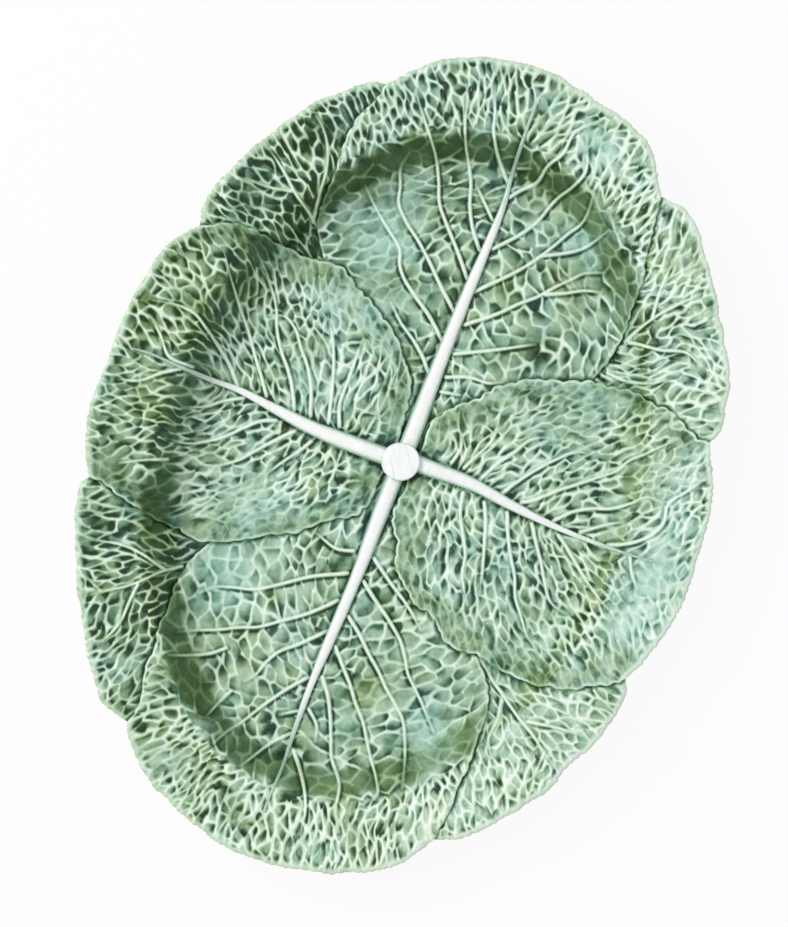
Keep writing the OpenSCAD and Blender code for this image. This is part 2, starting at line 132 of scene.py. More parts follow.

# the raised side veins of each leaf, from its midrib outwards, read from above
VEINS = {
    "east": [
        [(50, 2), (57, 8), (63, 15), (70, 25), (78, 33)],
        [(68, 1), (78, 12), (85, 22), (92, 31), (97, 35), (105, 38), (112, 46), (116, 51), (122, 58),
         (130, 66)],
        [(84, 0), (95, 12), (105, 22), (113, 31), (120, 40), (128, 47), (136, 49), (145, 52), (153, 50)],
        [(103, 0), (115, 10), (125, 19), (135, 27), (145, 31), (155, 36), (165, 44), (175, 52), (183, 58)],
        [(119, -1), (128, 6), (140, 12), (150, 15), (158, 19), (166, 24), (175, 28), (190, 32), (197, 36)],
        [(136, -2), (142, 4), (150, 12)],
        [(157, -3), (163, 3), (170, 9), (177, 13), (187, 16), (197, 20)],
        [(43, -7), (45, -18)],
        [(51, -7), (55, -18), (56, -30), (60, -38)],
        [(64, -7), (70, -20), (75, -30), (83, -45)],
        [(80, -7), (92, -22), (100, -30), (106, -37), (115, -45), (120, -50), (126, -56), (130, -66)],
        [(109, -41), (113, -50), (118, -60), (120, -68)],
        [(98, -6), (105, -13), (113, -21), (120, -27), (127, -32), (135, -37), (142, -41), (150, -46),
         (165, -46)],
        [(127, -32), (132, -42), (137, -50), (150, -60)],
        [(122, -7), (128, -13), (135, -19), (143, -24), (158, -30), (165, -35), (172, -38), (190, -33)],
        [(150, -6), (156, -11), (162, -17), (170, -19), (178, -24), (190, -26), (200, -35)],
        [(165, -5), (167, -12)],
    ],
    "north": [
        [(9, 22), (20, 20)],
        [(8, 36), (20, 40), (30, 40), (55, 40)],
        [(8, 42), (28, 47), (38, 50), (50, 55), (60, 61)],
        [(8, 52), (20, 56), (30, 61), (40, 69), (48, 75), (52, 82), (50, 90)],
        [(8, 61), (15, 64), (25, 70), (35, 78), (45, 84), (55, 88), (65, 95), (72, 103)],
        [(10, 77), (20, 84), (28, 90), (38, 97), (48, 105), (58, 112), (66, 118)],
        [(10, 93), (18, 100), (25, 108), (32, 117), (37, 125), (38, 135), (36, 147)],
        [(11, 117), (12, 130), (20, 137), (28, 145)],
        [(-4, 47), (-12, 52), (-20, 58), (-28, 63)],
        [(-2, 57), (-10, 65), (-18, 72), (-25, 78), (-34, 90)],
        [(0, 68), (-3, 75), (-10, 83), (-17, 90), (-22, 97), (-27, 107), (-28, 118)],
        [(5, 88), (0, 97), (-6, 105), (-10, 115)],
        [(8, 122), (3, 130), (-5, 140), (-8, 150)],
        [(-38, 113), (-42, 123), (-48, 135)],
    ],
    "south": [
        [(10, -25), (20, -27), (26, -24)],
        [(10, -32), (20, -37), (26, -40), (36, -42)],
        [(7, -42), (17, -47), (27, -54), (36, -60), (40, -68)],
        [(4, -55), (12, -60), (20, -66), (30, -75), (38, -85), (39, -90)],
        [(3, -66), (7, -72), (15, -81), (22, -90), (30, -100), (35, -106), (42, -110), (50, -118),
         (62, -130)],
        [(0, -85), (8, -93), (13, -102), (16, -110), (22, -118), (28, -125), (28, -133)],
        [(-1, -100), (7, -110), (12, -118)],
        [(-2, -115), (3, -125), (10, -133), (18, -137), (28, -136), (38, -143), (48, -150)],
        [(-2, -36), (-12, -38), (-22, -43), (-32, -48), (-42, -50), (-50, -54), (-56, -58)],
        [(-3, -48), (-12, -52), (-22, -55), (-32, -58), (-48, -62)],
        [(-4, -61), (-14, -65), (-24, -70), (-34, -76), (-44, -80), (-52, -86), (-60, -92), (-66, -100)],
        [(-5, -75), (-13, -80), (-22, -86), (-32, -92), (-40, -98), (-43, -107)],
        [(-6, -90), (-12, -98), (-18, -105), (-24, -112), (-33, -125)],
        [(-4, -127), (-12, -131), (-18, -136)],
    ],
    "west": [
        [(-50, 7), (-52, 15), (-48, 28)],
        [(-62, 6), (-70, 23), (-80, 38), (-86, 48), (-90, 62), (-92, 68), (-98, 75)],
        [(-77, 6), (-83, 12), (-90, 20), (-97, 30), (-104, 40), (-108, 50), (-112, 58), (-116, 68),
         (-120, 78)],
        [(-94, 6), (-105, 17), (-113, 26), (-120, 30), (-128, 33), (-133, 37)],
        [(-120, 52), (-125, 58), (-130, 70), (-132, 78)],
        [(-120, 7), (-128, 14), (-136, 20), (-145, 26), (-153, 31), (-160, 37), (-167, 41)],
        [(-138, 6), (-143, 14)],
        [(-150, 5), (-158, 13), (-166, 19), (-173, 24)],
        [(-140, 42), (-148, 46), (-155, 49)],
        [(-50, -4), (-60, -18), (-68, -30), (-77, -40)],
        [(-63, -3), (-70, -12), (-78, -23), (-86, -32), (-93, -37), (-100, -41), (-107, -48), (-112, -53),
         (-124, -64)],
        [(-83, -2), (-90, -11), (-97, -18), (-104, -26), (-112, -34), (-117, -40), (-124, -47), (-132, -51),
         (-140, -54), (-155, -58)],
        [(-100, -1), (-108, -8), (-116, -15), (-124, -21), (-132, -28), (-140, -33), (-148, -38),
         (-156, -44), (-162, -47), (-170, -42)],
        [(-117, 0), (-125, -6), (-135, -11), (-145, -15), (-155, -19), (-165, -27), (-178, -30),
         (-187, -35)],
        [(-135, 1), (-142, -6), (-150, -8)],
        [(-158, 1), (-165, -5), (-173, -11), (-182, -15), (-195, -17)],
    ],
    "northeast": [
        [(100, 80), (106, 88), (112, 97), (120, 106), (127, 115), (130, 120)],
        [(113, 100), (111, 110), (111, 125)],
        [(103, 85), (115, 86), (130, 87), (140, 90), (150, 97), (155, 103)],
    ],
    "southeast": [
        [(100, -88), (110, -93), (117, -98), (124, -104), (130, -110), (137, -117)],
        [(100, -90), (101, -105), (104, -120), (100, -128)],
        [(115, -96), (130, -95), (145, -96)],
        [(82, -85), (81, -95), (84, -108), (90, -116)],
    ],
    "northwest": [
        [(-88, 88), (-94, 97), (-100, 103), (-106, 110), (-113, 121), (-118, 128)],
        [(-92, 95), (-88, 108), (-87, 120), (-90, 135)],
        [(-103, 105), (-113, 106), (-125, 107), (-133, 110), (-140, 115)],
        [(-113, 121), (-109, 130)],
    ],
    "southwest": [
        [(-80, -73), (-88, -83), (-95, -93), (-101, -102), (-107, -112), (-113, -120), (-118, -128)],
        [(-101, -107), (-99, -120), (-98, -135)],
        [(-96, -91), (-105, -92), (-117, -91), (-125, -96)],
        [(-113, -120), (-126, -119)],
    ],
}

# patches of the glaze by their middle, reach and hue, read off one by one: aqua and smooth above 0, olive
# below
# the aqua patches are also painted paler, partly as painted reflection on the glossy glaze
PATCHES = [
    (112, 45, 24, 17, 0.9), (140, -50, 13, 20, 0.8), (105, -20, 14, 10, -0.8), (125, -45, 11, 9, -0.7),
    (150, 20, 14, 12, -0.4), (186, -42, 14, 20, 0.6), (160, -30, 9, 20, -0.5),
    (-125, -60, 20, 12, 0.9), (-88, 62, 16, 15, 0.8), (-115, -28, 13, 12, -0.9), (-150, 0, 12, 30, -0.3),
    (-75, -30, 12, 10, -0.4), (64, 52, 12, 22, 0.7), (-42, 66, 13, 18, 0.6), (20, 45, 20, 16, 0.3),
    (-30, -60, 16, 22, 0.4), (40, -60, 14, 18, 0.4), (10, -108, 45, 6, -0.3), (-5, -143, 34, 15, 0.9),
    (45, -138, 14, 9, 0.4), (-40, -138, 12, 10, 0.5),
    (125, 105, 30, 25, -0.5), (-115, 108, 30, 25, -0.6), (40, 130, 22, 20, -0.5), (-25, 135, 22, 16, -0.4),
]
# places where the glaze lies dark and smooth over the cells, by their middle and reach
DARK_PLACES = [
    (105, 99, 9, 9), (-82, 107, 15, 8), (-108, 97, 18, 5), (-56, 112, 9, 8), (66, 108, 12, 7),
    (104, -97, 8, 6), (140, 67, 11, 8), (153, 53, 8, 8), (-136, 71, 11, 8), (-151, 57, 8, 10),
]

# the band of pooled glaze along the wall: how far inside the dish's edge it starts, how wide that border is,
# where it ends, how wide that border is, and how steadily the second one runs, from 0 to 1
END_BAND, SOUTH_BAND = (38, 3.5, 50.5, 2.5, 0.7), (36, 2.5, 43, 3, 0)
BANDS = {"east": END_BAND, "west": END_BAND, "north": (32, 6, 46, 5, 0), "south": SOUTH_BAND,
         "southeast": SOUTH_BAND, "southwest": SOUTH_BAND}

# each leaf's glaze: how pale it lies, what the band, the wall and the rim take from that, how dark the band
# lies at the leaf's right and left in the picture, and how olive the band and the rim are. The band's
# darkness is
# pooled glaze and painted shade: it is set darker towards the picture's left, where the walls face away from
# the lamp, and there the north leaf's band and rim take more as painted shade. The south wall's share is
# below 0, so that wall is painted paler, as painted light where it faces the lamp
LeafGlaze = namedtuple("LeafGlaze", "tone band wall rim right left band_olive rim_olive")
LEAF_GLAZE = {
    "east": LeafGlaze(0.0, 0.05, 0.04, 0, 0.6, 0.8, 0.7, 0),
    "northeast": LeafGlaze(-0.2, 0, 0.04, 0, 0.02, 0.78, 0.7, 0),
    "north": LeafGlaze(0.02, 0.1, 0.04, 0.04, 0.95, 0.95, 0.25, 0.35),
    "northwest": LeafGlaze(-0.09, 0, 0.04, 0, 0.02, 0.78, 0.7, 0),
    "west": LeafGlaze(0.07, 0.05, 0.04, 0, 0.4, 0.75, 0.7, 0.3),
    "southwest": LeafGlaze(0.1, 0, 0.04, 0, 0.3, 0.3, 0.7, 0),
    "south": LeafGlaze(0.03, 0, -0.06, 0, 0.48, 0.48, 0.7, 0),
    "southeast": LeafGlaze(0.08, 0, 0.04, 0, 0.35, 0.35, 0.7, 0),
}

# the large leaves, with the layer that each lies in, and the corner leaves under them
LARGE_LEAVES = {"east": 1, "west": 1, "north": 2, "south": 2}
CORNERS = ("northeast", "northwest", "southwest", "southeast")

# the net of small veins: its seed, the share of veins that are too weak to be seen where they are weakest,
# how sharp the corners of a cell are, per mm, and how many cells away its sides are looked for
DRAW_SEED = 7
WEAK_SHARE = 0.14
ROUNDING = 2.1
CELL_REACH = 3

# the side veins, in mm: half widths and heights at the midrib and at the tip, the length below which a vein
# is slighter, and the share of that size which those of the corner leaves have
VEIN_HALVES, VEIN_HEIGHTS, FULL_VEIN, CORNER_SHARE = (0.46, 0.12), (1.2, 0.7), 45, 0.85
# how far, in mm, the crests of the side veins and of the net's lines reach, on the end leaves and elsewhere
END_CRESTS, OTHER_CRESTS = (0.5, 0.52), (0.46, 0.43)
# how much longer than wide the cells lie along the veins: on the end leaves' floor and rim, and elsewhere
FLOOR_STRETCH, RIM_STRETCH, OTHER_STRETCH = 0.6, 2.2, 2.15
# the net's relief, in mm: its lines, the moats beside them, the cells' crowns and the cells' slopes
NET_LINE, NET_MOAT, NET_CROWN, NET_SLOPE = 0.65, 0.4, 0.25, 0.4
# a leaf's unevenness, in mm: its large and its small puckers and the grain of its skin
LARGE_PUCKER, SMALL_PUCKER, SKIN_GRAIN = 0.5, 0.25, 0.05
# how thin the glaze lies on the whole, and what a cell's pool takes from that
BASE_THIN, CELL_POOL = 0.49, 0.44

# edges, in mm: the rim's rounding across and down, the bead on a free edge and the groove below one
EDGE_ACROSS, EDGE_DOWN = 1.9, 1.5
BEAD_HEIGHT, GROOVE_DEPTH = 0.5, 0.9

# spacing of points in mm: along the outlines, along the side veins and over the underside
OUTLINE_STEP, VEIN_STEP, UNDERSIDE_STEP = 0.8, 1.5, 4.0

# the even glaze of the underside, as its values of thin, deep and hue
UNDERSIDE_GLAZE = (0.55, 0.1, 0.0)


# Small shared helpers


def linear(text):
    """The linear colour of an sRGB hex value."""
    parts = [int(text[k:k + 2], 16) / 255 for k in (1, 3, 5)]
    return tuple(c / 12.92 if c <= 0.04045 else ((c + 0.055) / 1.055) ** 2.4 for c in parts)


def add_node(tree, kind, settings=None, values=None, links=None, stops=None):
    """Adds a node with its settings, its input values, its links and, on a ramp, its colour stops."""
    node = tree.nodes.new(kind)
    for name, value in (settings or {}).items():
        setattr(node, name, value)
    for name, value in (values or {}).items():
        node.inputs[name].default_value = value
    for name, source in (links or {}).items():
        tree.links.new(source, node.inputs[name])
    for k, (place, colour) in enumerate(stops or []):
        elements = node.color_ramp.elements
        stop = elements[k] if k < 2 else elements.new(place)
        stop.position = place
        stop.color = (*colour, 1)
    return node


def new_material(name):
    """An empty material with its tree and its output node."""
    material = bpy.data.materials.new(name)
    material.use_nodes = True
    material.node_tree.nodes.clear()
    return material, material.node_tree, material.node_tree.nodes.new("ShaderNodeOutputMaterial")


def mix(a, b, t):
    """A value between a, for a share t of 0, and b, for 1."""
    return a + (b - a) * t


def ease(t):
    """A smooth rise from 0 to 1 as t does."""
    t = np.clip(t, 0, 1)
    return t * t * (3 - 2 * t)


def hump(value, middle, spread):
    """A bell of height 1 round the middle."""
    return np.exp(-((value - middle) / spread) ** 2)


def smooth_line(points, step):
    """A smooth line through the points, from the first to the last, with a point about every step."""
    points = np.array(points, float)
    along = np.concatenate(([0], np.cumsum(np.linalg.norm(np.diff(points[:, :2], axis=0), axis=1))))
    slopes = np.gradient(points, along, axis=0)
    count = max(2, round(along[-1] / step))
    place = np.linspace(0, along[-1], count + 1)
    k = np.clip(np.searchsorted(along, place, side="right") - 1, 0, len(along) - 2)
    gap = along[k + 1] - along[k]
    t = ((place - along[k]) / gap)[:, None]
    gap = gap[:, None]
    return (
        (2 * t**3 - 3 * t**2 + 1) * points[k]
        + (t**3 - 2 * t**2 + t) * gap * slopes[k]
        + (3 * t**2 - 2 * t**3) * points[k + 1]
        + (t**3 - t**2) * gap * slopes[k + 1]
    )


def lengthwise(line):
    """Distance along a line at each of its points, and the unit normal to its right."""
    run = np.gradient(line[:, :2], axis=0)
    run /= np.linalg.norm(run, axis=1)[:, None]
    steps = np.linalg.norm(np.diff(line[:, :2], axis=0), axis=1)
    return np.concatenate(([0], np.cumsum(steps))), np.stack((run[:, 1], -run[:, 0]), 1)


def soft_values(x, y, size, seed):
    """Smooth random values from -1 to 1 whose patches are about size across."""
    rng = np.random.default_rng(seed)
    grid = rng.uniform(-1, 1, (64, 64))
    u, v = x / size + 31.3, y / size + 29.7
    i, j = np.floor(u).astype(int), np.floor(v).astype(int)
    s, t = ease(u - i), ease(v - j)
    i, j = i % 64, j % 64
    k, m = (i + 1) % 64, (j + 1) % 64
    low = mix(grid[i, j], grid[k, j], s)
    high = mix(grid[i, m], grid[k, m], s)
    return mix(low, high, t)


def swing(along, size, seed, shift=0):
    """Smooth random values from -1 to 1 along a line."""
    return soft_values(along, np.full_like(along, shift), size, seed)


def softened(values):
    """A raster's values, each blended with its neighbours by weights of 1, 2 and 1 both ways."""
    for axis in (0, 1):
        edge = np.pad(values, [(1, 1) if k == axis else (0, 0) for k in (0, 1)], "edge")
        before, after = (edge[:-2], edge[2:]) if axis == 0 else (edge[:, :-2], edge[:, 2:])
        values = (before + 2 * values + after) / 4
    return values


# The dish


def inset(x, y):
    """How far a point lies inside the dish's oval edge, by halving until it is exact to 0.0001 mm."""
    low = np.full(np.shape(x), -RIM_WIDTH)
    high = np.full(np.shape(x), HALF_WIDTH - 0.01)
    for _ in range(22):
        middle = (low + high) / 2
        outside = (x / (HALF_LENGTH - middle)) ** 2 + (y / (HALF_WIDTH - middle)) ** 2 > 1
        high = np.where(outside, middle, high)
        low = np.where(outside, low, middle)
    return (low + high) / 2


def dish_height(depth):
    """Height of the dish's upper side, from the distance inside its edge."""
    rim = WALL_TOP + RIM_RISE * (1 - depth / RIM_WIDTH)
    wall = mix(WALL_TOP, FLOOR_TOP, ease((depth - RIM_WIDTH) / WALL_WIDTH))
    return np.where(depth < RIM_WIDTH, rim, wall)


def underside_height(depth):
    """Height of the dish's lower side, from the distance inside its edge."""
    return dish_height(depth + WALL_THICK) - mix(RIM_THICK, FLOOR_THICK, ease(depth / RIM_WIDTH))


# The leaves' outlines


def scalloped(line, pitch, depth, seed):
    """A rim line with small uneven teeth and waves, which fade at its two ends."""
    along, outward = lengthwise(line)
    rng = np.random.default_rng(seed)
    stretch = 1 + 0.45 * swing(along, 9, seed + 1)
    phase = np.cumsum(np.gradient(along) * stretch) * math.pi / pitch
    size = depth * (0.7 + 0.7 * swing(along, 7, seed + 2, 7))
    wave = 0.6 * swing(along, 8, seed + 3, 3) + 0.4 * swing(along, 2.4, seed + 4, 5)
    fade = ease(along / 5) * ease((along[-1] - along) / 5)
    tooth = np.abs(np.sin(phase + rng.uniform(0, 3))) - 0.9
    return line + outward * (fade * (size * tooth + wave))[:, None]


def ruffled(line, side, seed, last_fade):
    """A leaf's free edge with rounded ruffles, which fade at its ends.

    They bulge to the line's right where side is above 0, and to its left below.
    """
    along, right = lengthwise(line)
    stretch = 1 + 0.35 * swing(along, 17, seed)
    phase = np.cumsum(np.gradient(along) * stretch) * math.pi / RUFFLE_PITCH
    bulge = (np.abs(np.sin(phase)) - 0.6) * (0.8 + 0.6 * swing(along, 11, seed + 1))
    wave = bulge + 0.4 * swing(along, 2.2, seed + 2)
    fade = ease(along / 4) * ease((along[-1] - along) / last_fade)
    return line + right * (side * fade * wave)[:, None]


def leaf_outlines(tooth_pitch, tooth_depth):
    """Each leaf's outline, anticlockwise, and its parts by kind: rim, over (a free edge), under (covered)."""
    rims = {name: scalloped(smooth_line(points, OUTLINE_STEP), tooth_pitch, tooth_depth, 40 + k)
            for k, (name, points) in enumerate(RIMS.items())}
    turned = {"northeast": -1, "northwest": 1, "southwest": -1, "southeast": 1}
    sides = {name: ruffled(smooth_line(points, OUTLINE_STEP), turned[name], 60 + 3 * k, 30)
             for k, (name, points) in enumerate(SIDE_EDGES.items())}
    ends, outer, inner = {}, {}, {}
    for k, (name, points) in enumerate(END_EDGES.items()):
        side = sides[name]
        meet = int(np.argmin(np.linalg.norm(side - np.array(points[-1]), axis=1)))
        joined = smooth_line(points[:-1] + [tuple(side[meet])], OUTLINE_STEP)
        ends[name] = ruffled(joined, -0.7 * turned[name], 80 + 3 * k, 4)
        outer[name], inner[name] = side[:meet + 1], side[meet:]

    def loop(*lines):
        return np.concatenate([line[:-1] for line in lines])

    outlines = {}
    for name in CORNERS:
        outline = loop(rims[name], outer[name], ends[name][::-1])
        if turned[name] == 1:
            outline = loop(rims[name], ends[name], outer[name][::-1])
        outlines[name] = (outline, {"rim": [rims[name]], "over": [], "under": [outer[name], ends[name]]})
    for name, after, before in (("east", "northeast", "southeast"), ("west", "southwest", "northwest")):
        outline = loop(rims[name], ends[after], inner[after], inner[before][::-1], ends[before][::-1])
        outlines[name] = (outline, {"rim": [rims[name]], "over": [ends[after], ends[before]],
                                    "under": [inner[after], inner[before]]})
    for name, after, before in (("north", "northwest", "northeast"), ("south", "southeast", "southwest")):
        outline = loop(rims[name], sides[after], sides[before][::-1])
        outlines[name] = (outline, {"rim": [rims[name]], "over": [sides[after], sides[before]], "under": []})
    return outlines


def is_inside(outline, xs, ys):
    """For a raster, which of its points lie inside the outline."""
    inside = np.zeros((len(xs), len(ys)), bool)
    for (ax, ay), (bx, by) in zip(outline, np.roll(outline, -1, 0)):
        i, k = np.searchsorted(xs, (min(ax, bx), max(ax, bx)))
        if k > i:
            crossing = ay + (xs[i:k] - ax) / (bx - ax) * (by - ay)
            for row, first in zip(range(i, k), np.searchsorted(ys, crossing)):
                inside[row, first:] ^= True
    return inside


def points_inside(outline, points):
    """For single points, which of them lie inside the outline."""
    inside = np.zeros(len(points), bool)
    for (ax, ay), (bx, by) in zip(outline, np.roll(outline, -1, 0)):
        crosses = (points[:, 0] < ax) != (points[:, 0] < bx)
        if ax != bx:
            inside ^= crosses & (points[:, 1] < ay + (points[:, 0] - ax) / (bx - ax) * (by - ay))
    return inside


# Relief on a raster


def line_field(lines, xs, ys, reach):
    """How far each raster point lies outside the nearest line's side, and that line's height there.

    Each line is its points, its half widths and its heights.
    """
    gap = np.full((len(xs), len(ys)), float(reach))
    height = np.zeros_like(gap)
    for points, halves, heights in lines:
        for k in range(len(points) - 1):
            a, b = points[k], points[k + 1]
            pad = reach + max(halves[k], halves[k + 1])
            i, m = np.searchsorted(xs, (min(a[0], b[0]) - pad, max(a[0], b[0]) + pad))
            j, n = np.searchsorted(ys, (min(a[1], b[1]) - pad, max(a[1], b[1]) + pad))
            run = b - a
            size = run @ run
            if m <= i or n <= j or size == 0:
                continue
            dx, dy = xs[i:m, None] - a[0], ys[None, j:n] - a[1]
            t = np.clip((dx * run[0] + dy * run[1]) / size, 0, 1)
            away = np.hypot(dx - t * run[0], dy - t * run[1]) - mix(halves[k], halves[k + 1], t)
            nearer = away < gap[i:m, j:n]
            gap[i:m, j:n][nearer] = away[nearer]
            height[i:m, j:n][nearer] = mix(heights[k], heights[k + 1], t)[nearer]
    return gap, height


def plain_lines(lines):
    """Lines without width, for their distance alone."""
    return [(line, np.zeros(len(line)), np.ones(len(line))) for line in lines]


def vein_directions(lines, x, y):
    """Direction of the veins round each point, as an angle, weighted by nearness."""
    places = np.concatenate([line[0][:-1] for line in lines])
    runs = np.concatenate([np.diff(line[0], axis=0) for line in lines])
    angles = 2 * np.arctan2(runs[:, 1], runs[:, 0])
    dx, dy = x.ravel()[:, None] - places[:, 0], y.ravel()[:, None] - places[:, 1]
    weight = 1 / (dx**2 + dy**2 + 9) ** 1.5
    turned = np.arctan2(weight @ np.sin(angles), weight @ np.cos(angles)) / 2
    return turned.reshape(x.shape)


def cell_network(lines, xs, ys, pitch, stretch, seed):
    """The net of small veins between cells: distance to the nearest side, each cell's slope and its own tone.

    Each side between two cells has a strength of its own, and weak sides join their cells.
    """
    plain_x, plain_y = np.meshgrid(xs, ys, indexing="ij")
    weak = WEAK_SHARE * ease(0.5 + 0.9 * soft_values(plain_x, plain_y, 2.2 * pitch, seed + 3))
    # the first warp makes the cells differ in size, the second one bends their sides
    x, y = plain_x, plain_y
    for share, size, own_seed in ((0.7, 4.5, seed + 4), (0.22, 1.1, seed + 1)):
        x = x + share * pitch * soft_values(plain_x, plain_y, size * pitch, own_seed)
        y = y + share * pitch * soft_values(plain_x, plain_y, size * pitch, own_seed + 1)
    i, j = np.floor(x / pitch).astype(int), np.floor(y / pitch).astype(int)
    i0, j0 = i.min() - CELL_REACH, j.min() - CELL_REACH
    shape = (i.max() - i0 + CELL_REACH + 1, j.max() - j0 + CELL_REACH + 1)
    rng = np.random.default_rng(seed)
    seed_x = (np.arange(shape[0])[:, None] + i0 + rng.uniform(0.2, 0.8, shape)) * pitch
    seed_y = (np.arange(shape[1])[None, :] + j0 + rng.uniform(0.2, 0.8, shape)) * pitch
    low_angle = rng.uniform(0, 2 * math.pi, shape)
    own = rng.uniform(-1, 1, shape)
    tie = rng.uniform(0, 1, shape)
    angle = vein_directions(lines, seed_x, seed_y)
    # with a stretch above 1 distances shrink along the veins, so the cells lie lengthwise, and below 1 across
    narrow, wide = stretch ** -0.5, stretch ** 0.5
    cos, sin = np.cos(angle), np.sin(angle)
    xx = (narrow * cos) ** 2 + (wide * sin) ** 2
    yy = (narrow * sin) ** 2 + (wide * cos) ** 2
    xy = (narrow**2 - wide**2) * sin * cos

    def measure(di, dj):
        """A cell's place, how far each point is from its seed, and the direction of that distance."""
        a, b = i - i0 + di, j - j0 + dj
        dx, dy = x - seed_x[a, b], y - seed_y[a, b]
        pull_x, pull_y = xx[a, b] * dx + xy[a, b] * dy, xy[a, b] * dx + yy[a, b] * dy
        far = np.sqrt(np.maximum(dx * pull_x + dy * pull_y, 1e-9))
        return a, b, far, pull_x / far, pull_y / far

    near = np.full(x.shape, 1e9)
    near_a, near_b = np.zeros_like(i), np.zeros_like(j)
    pull = [np.zeros_like(near), np.zeros_like(near)]
    reach = range(-CELL_REACH, CELL_REACH + 1)
    offsets = [(di, dj) for di in reach for dj in reach]
    for di, dj in offsets:
        a, b, far, px, py = measure(di, dj)
        nearer = far < near
        near[nearer] = far[nearer]
        near_a[nearer], near_b[nearer] = a[nearer], b[nearer]
        pull[0][nearer], pull[1][nearer] = px[nearer], py[nearer]
    blend, share = np.zeros_like(near), np.zeros_like(near)
    low_sum, own_sum = np.zeros_like(near), np.zeros_like(near)
    for di, dj in offsets:
        a, b, far, px, py = measure(di, dj)
        other = (a != near_a) | (b != near_b)
        # a side's strength comes from both of its cells, and a weak side lies as if 1.8 mm further away
        strength = ease(((tie[a, b] + tie[near_a, near_b]) % 1 - weak) / 0.25)
        side = (far - near) / (np.hypot(px - pull[0], py - pull[1]) + 0.05) + 1.8 * (1 - strength)
        blend += np.where(other, np.exp(-ROUNDING * side), 0)
        weight = np.exp(-2.2 * (far - near))
        turn = low_angle[a, b]
        low_sum += weight * ((x - seed_x[a, b]) * np.cos(turn) + (y - seed_y[a, b]) * np.sin(turn)) / pitch
        own_sum += weight * own[a, b]
        share += weight
    side = np.maximum(-np.log(blend + 1e-12) / ROUNDING, 0)
    return side, low_sum / share, own_sum / share


def leaf_zones(name, depth, soft):
    """Where a leaf lies on floor, wall and rim, and where the glaze pools along the wall, from 0 to 1."""
    rim = 1 - ease((depth - RIM_WIDTH + 5) / 7)
    floor = ease((depth - RIM_WIDTH - WALL_WIDTH + 7) / 8)
    wall = np.clip(1 - rim - floor, 0, 1)
    if name not in BANDS:
        return floor, wall, rim, wall
    start, start_width, end, end_width, steady = BANDS[name]
    uneven = depth + 2.6 * soft(6, 315) + 1.2 * soft(2.5, 325)
    second = mix(uneven, depth, steady)
    return floor, wall, rim, ease((uneven - start) / start_width) * (1 - ease((second - end) / end_width))


def side_vein_lines(name):
    """The raised side veins of a leaf: their points, half widths and heights in mm, less towards the tips."""
    lines = []
    for points in VEINS[name]:
        line = smooth_line(points, VEIN_STEP)
        share = np.linspace(0, 1, len(line))
        large = mix(0.6, 1, min(1, len(line) * VEIN_STEP / FULL_VEIN))
        large *= CORNER_SHARE if name in CORNERS else 1
        # the last quarter sinks into the leaf
        fading = 1 - 0.65 * ease((share - 0.75) / 0.25)
        lines.append((line, mix(*VEIN_HALVES, share) * large, mix(*VEIN_HEIGHTS, share) * large * fading))
    return lines


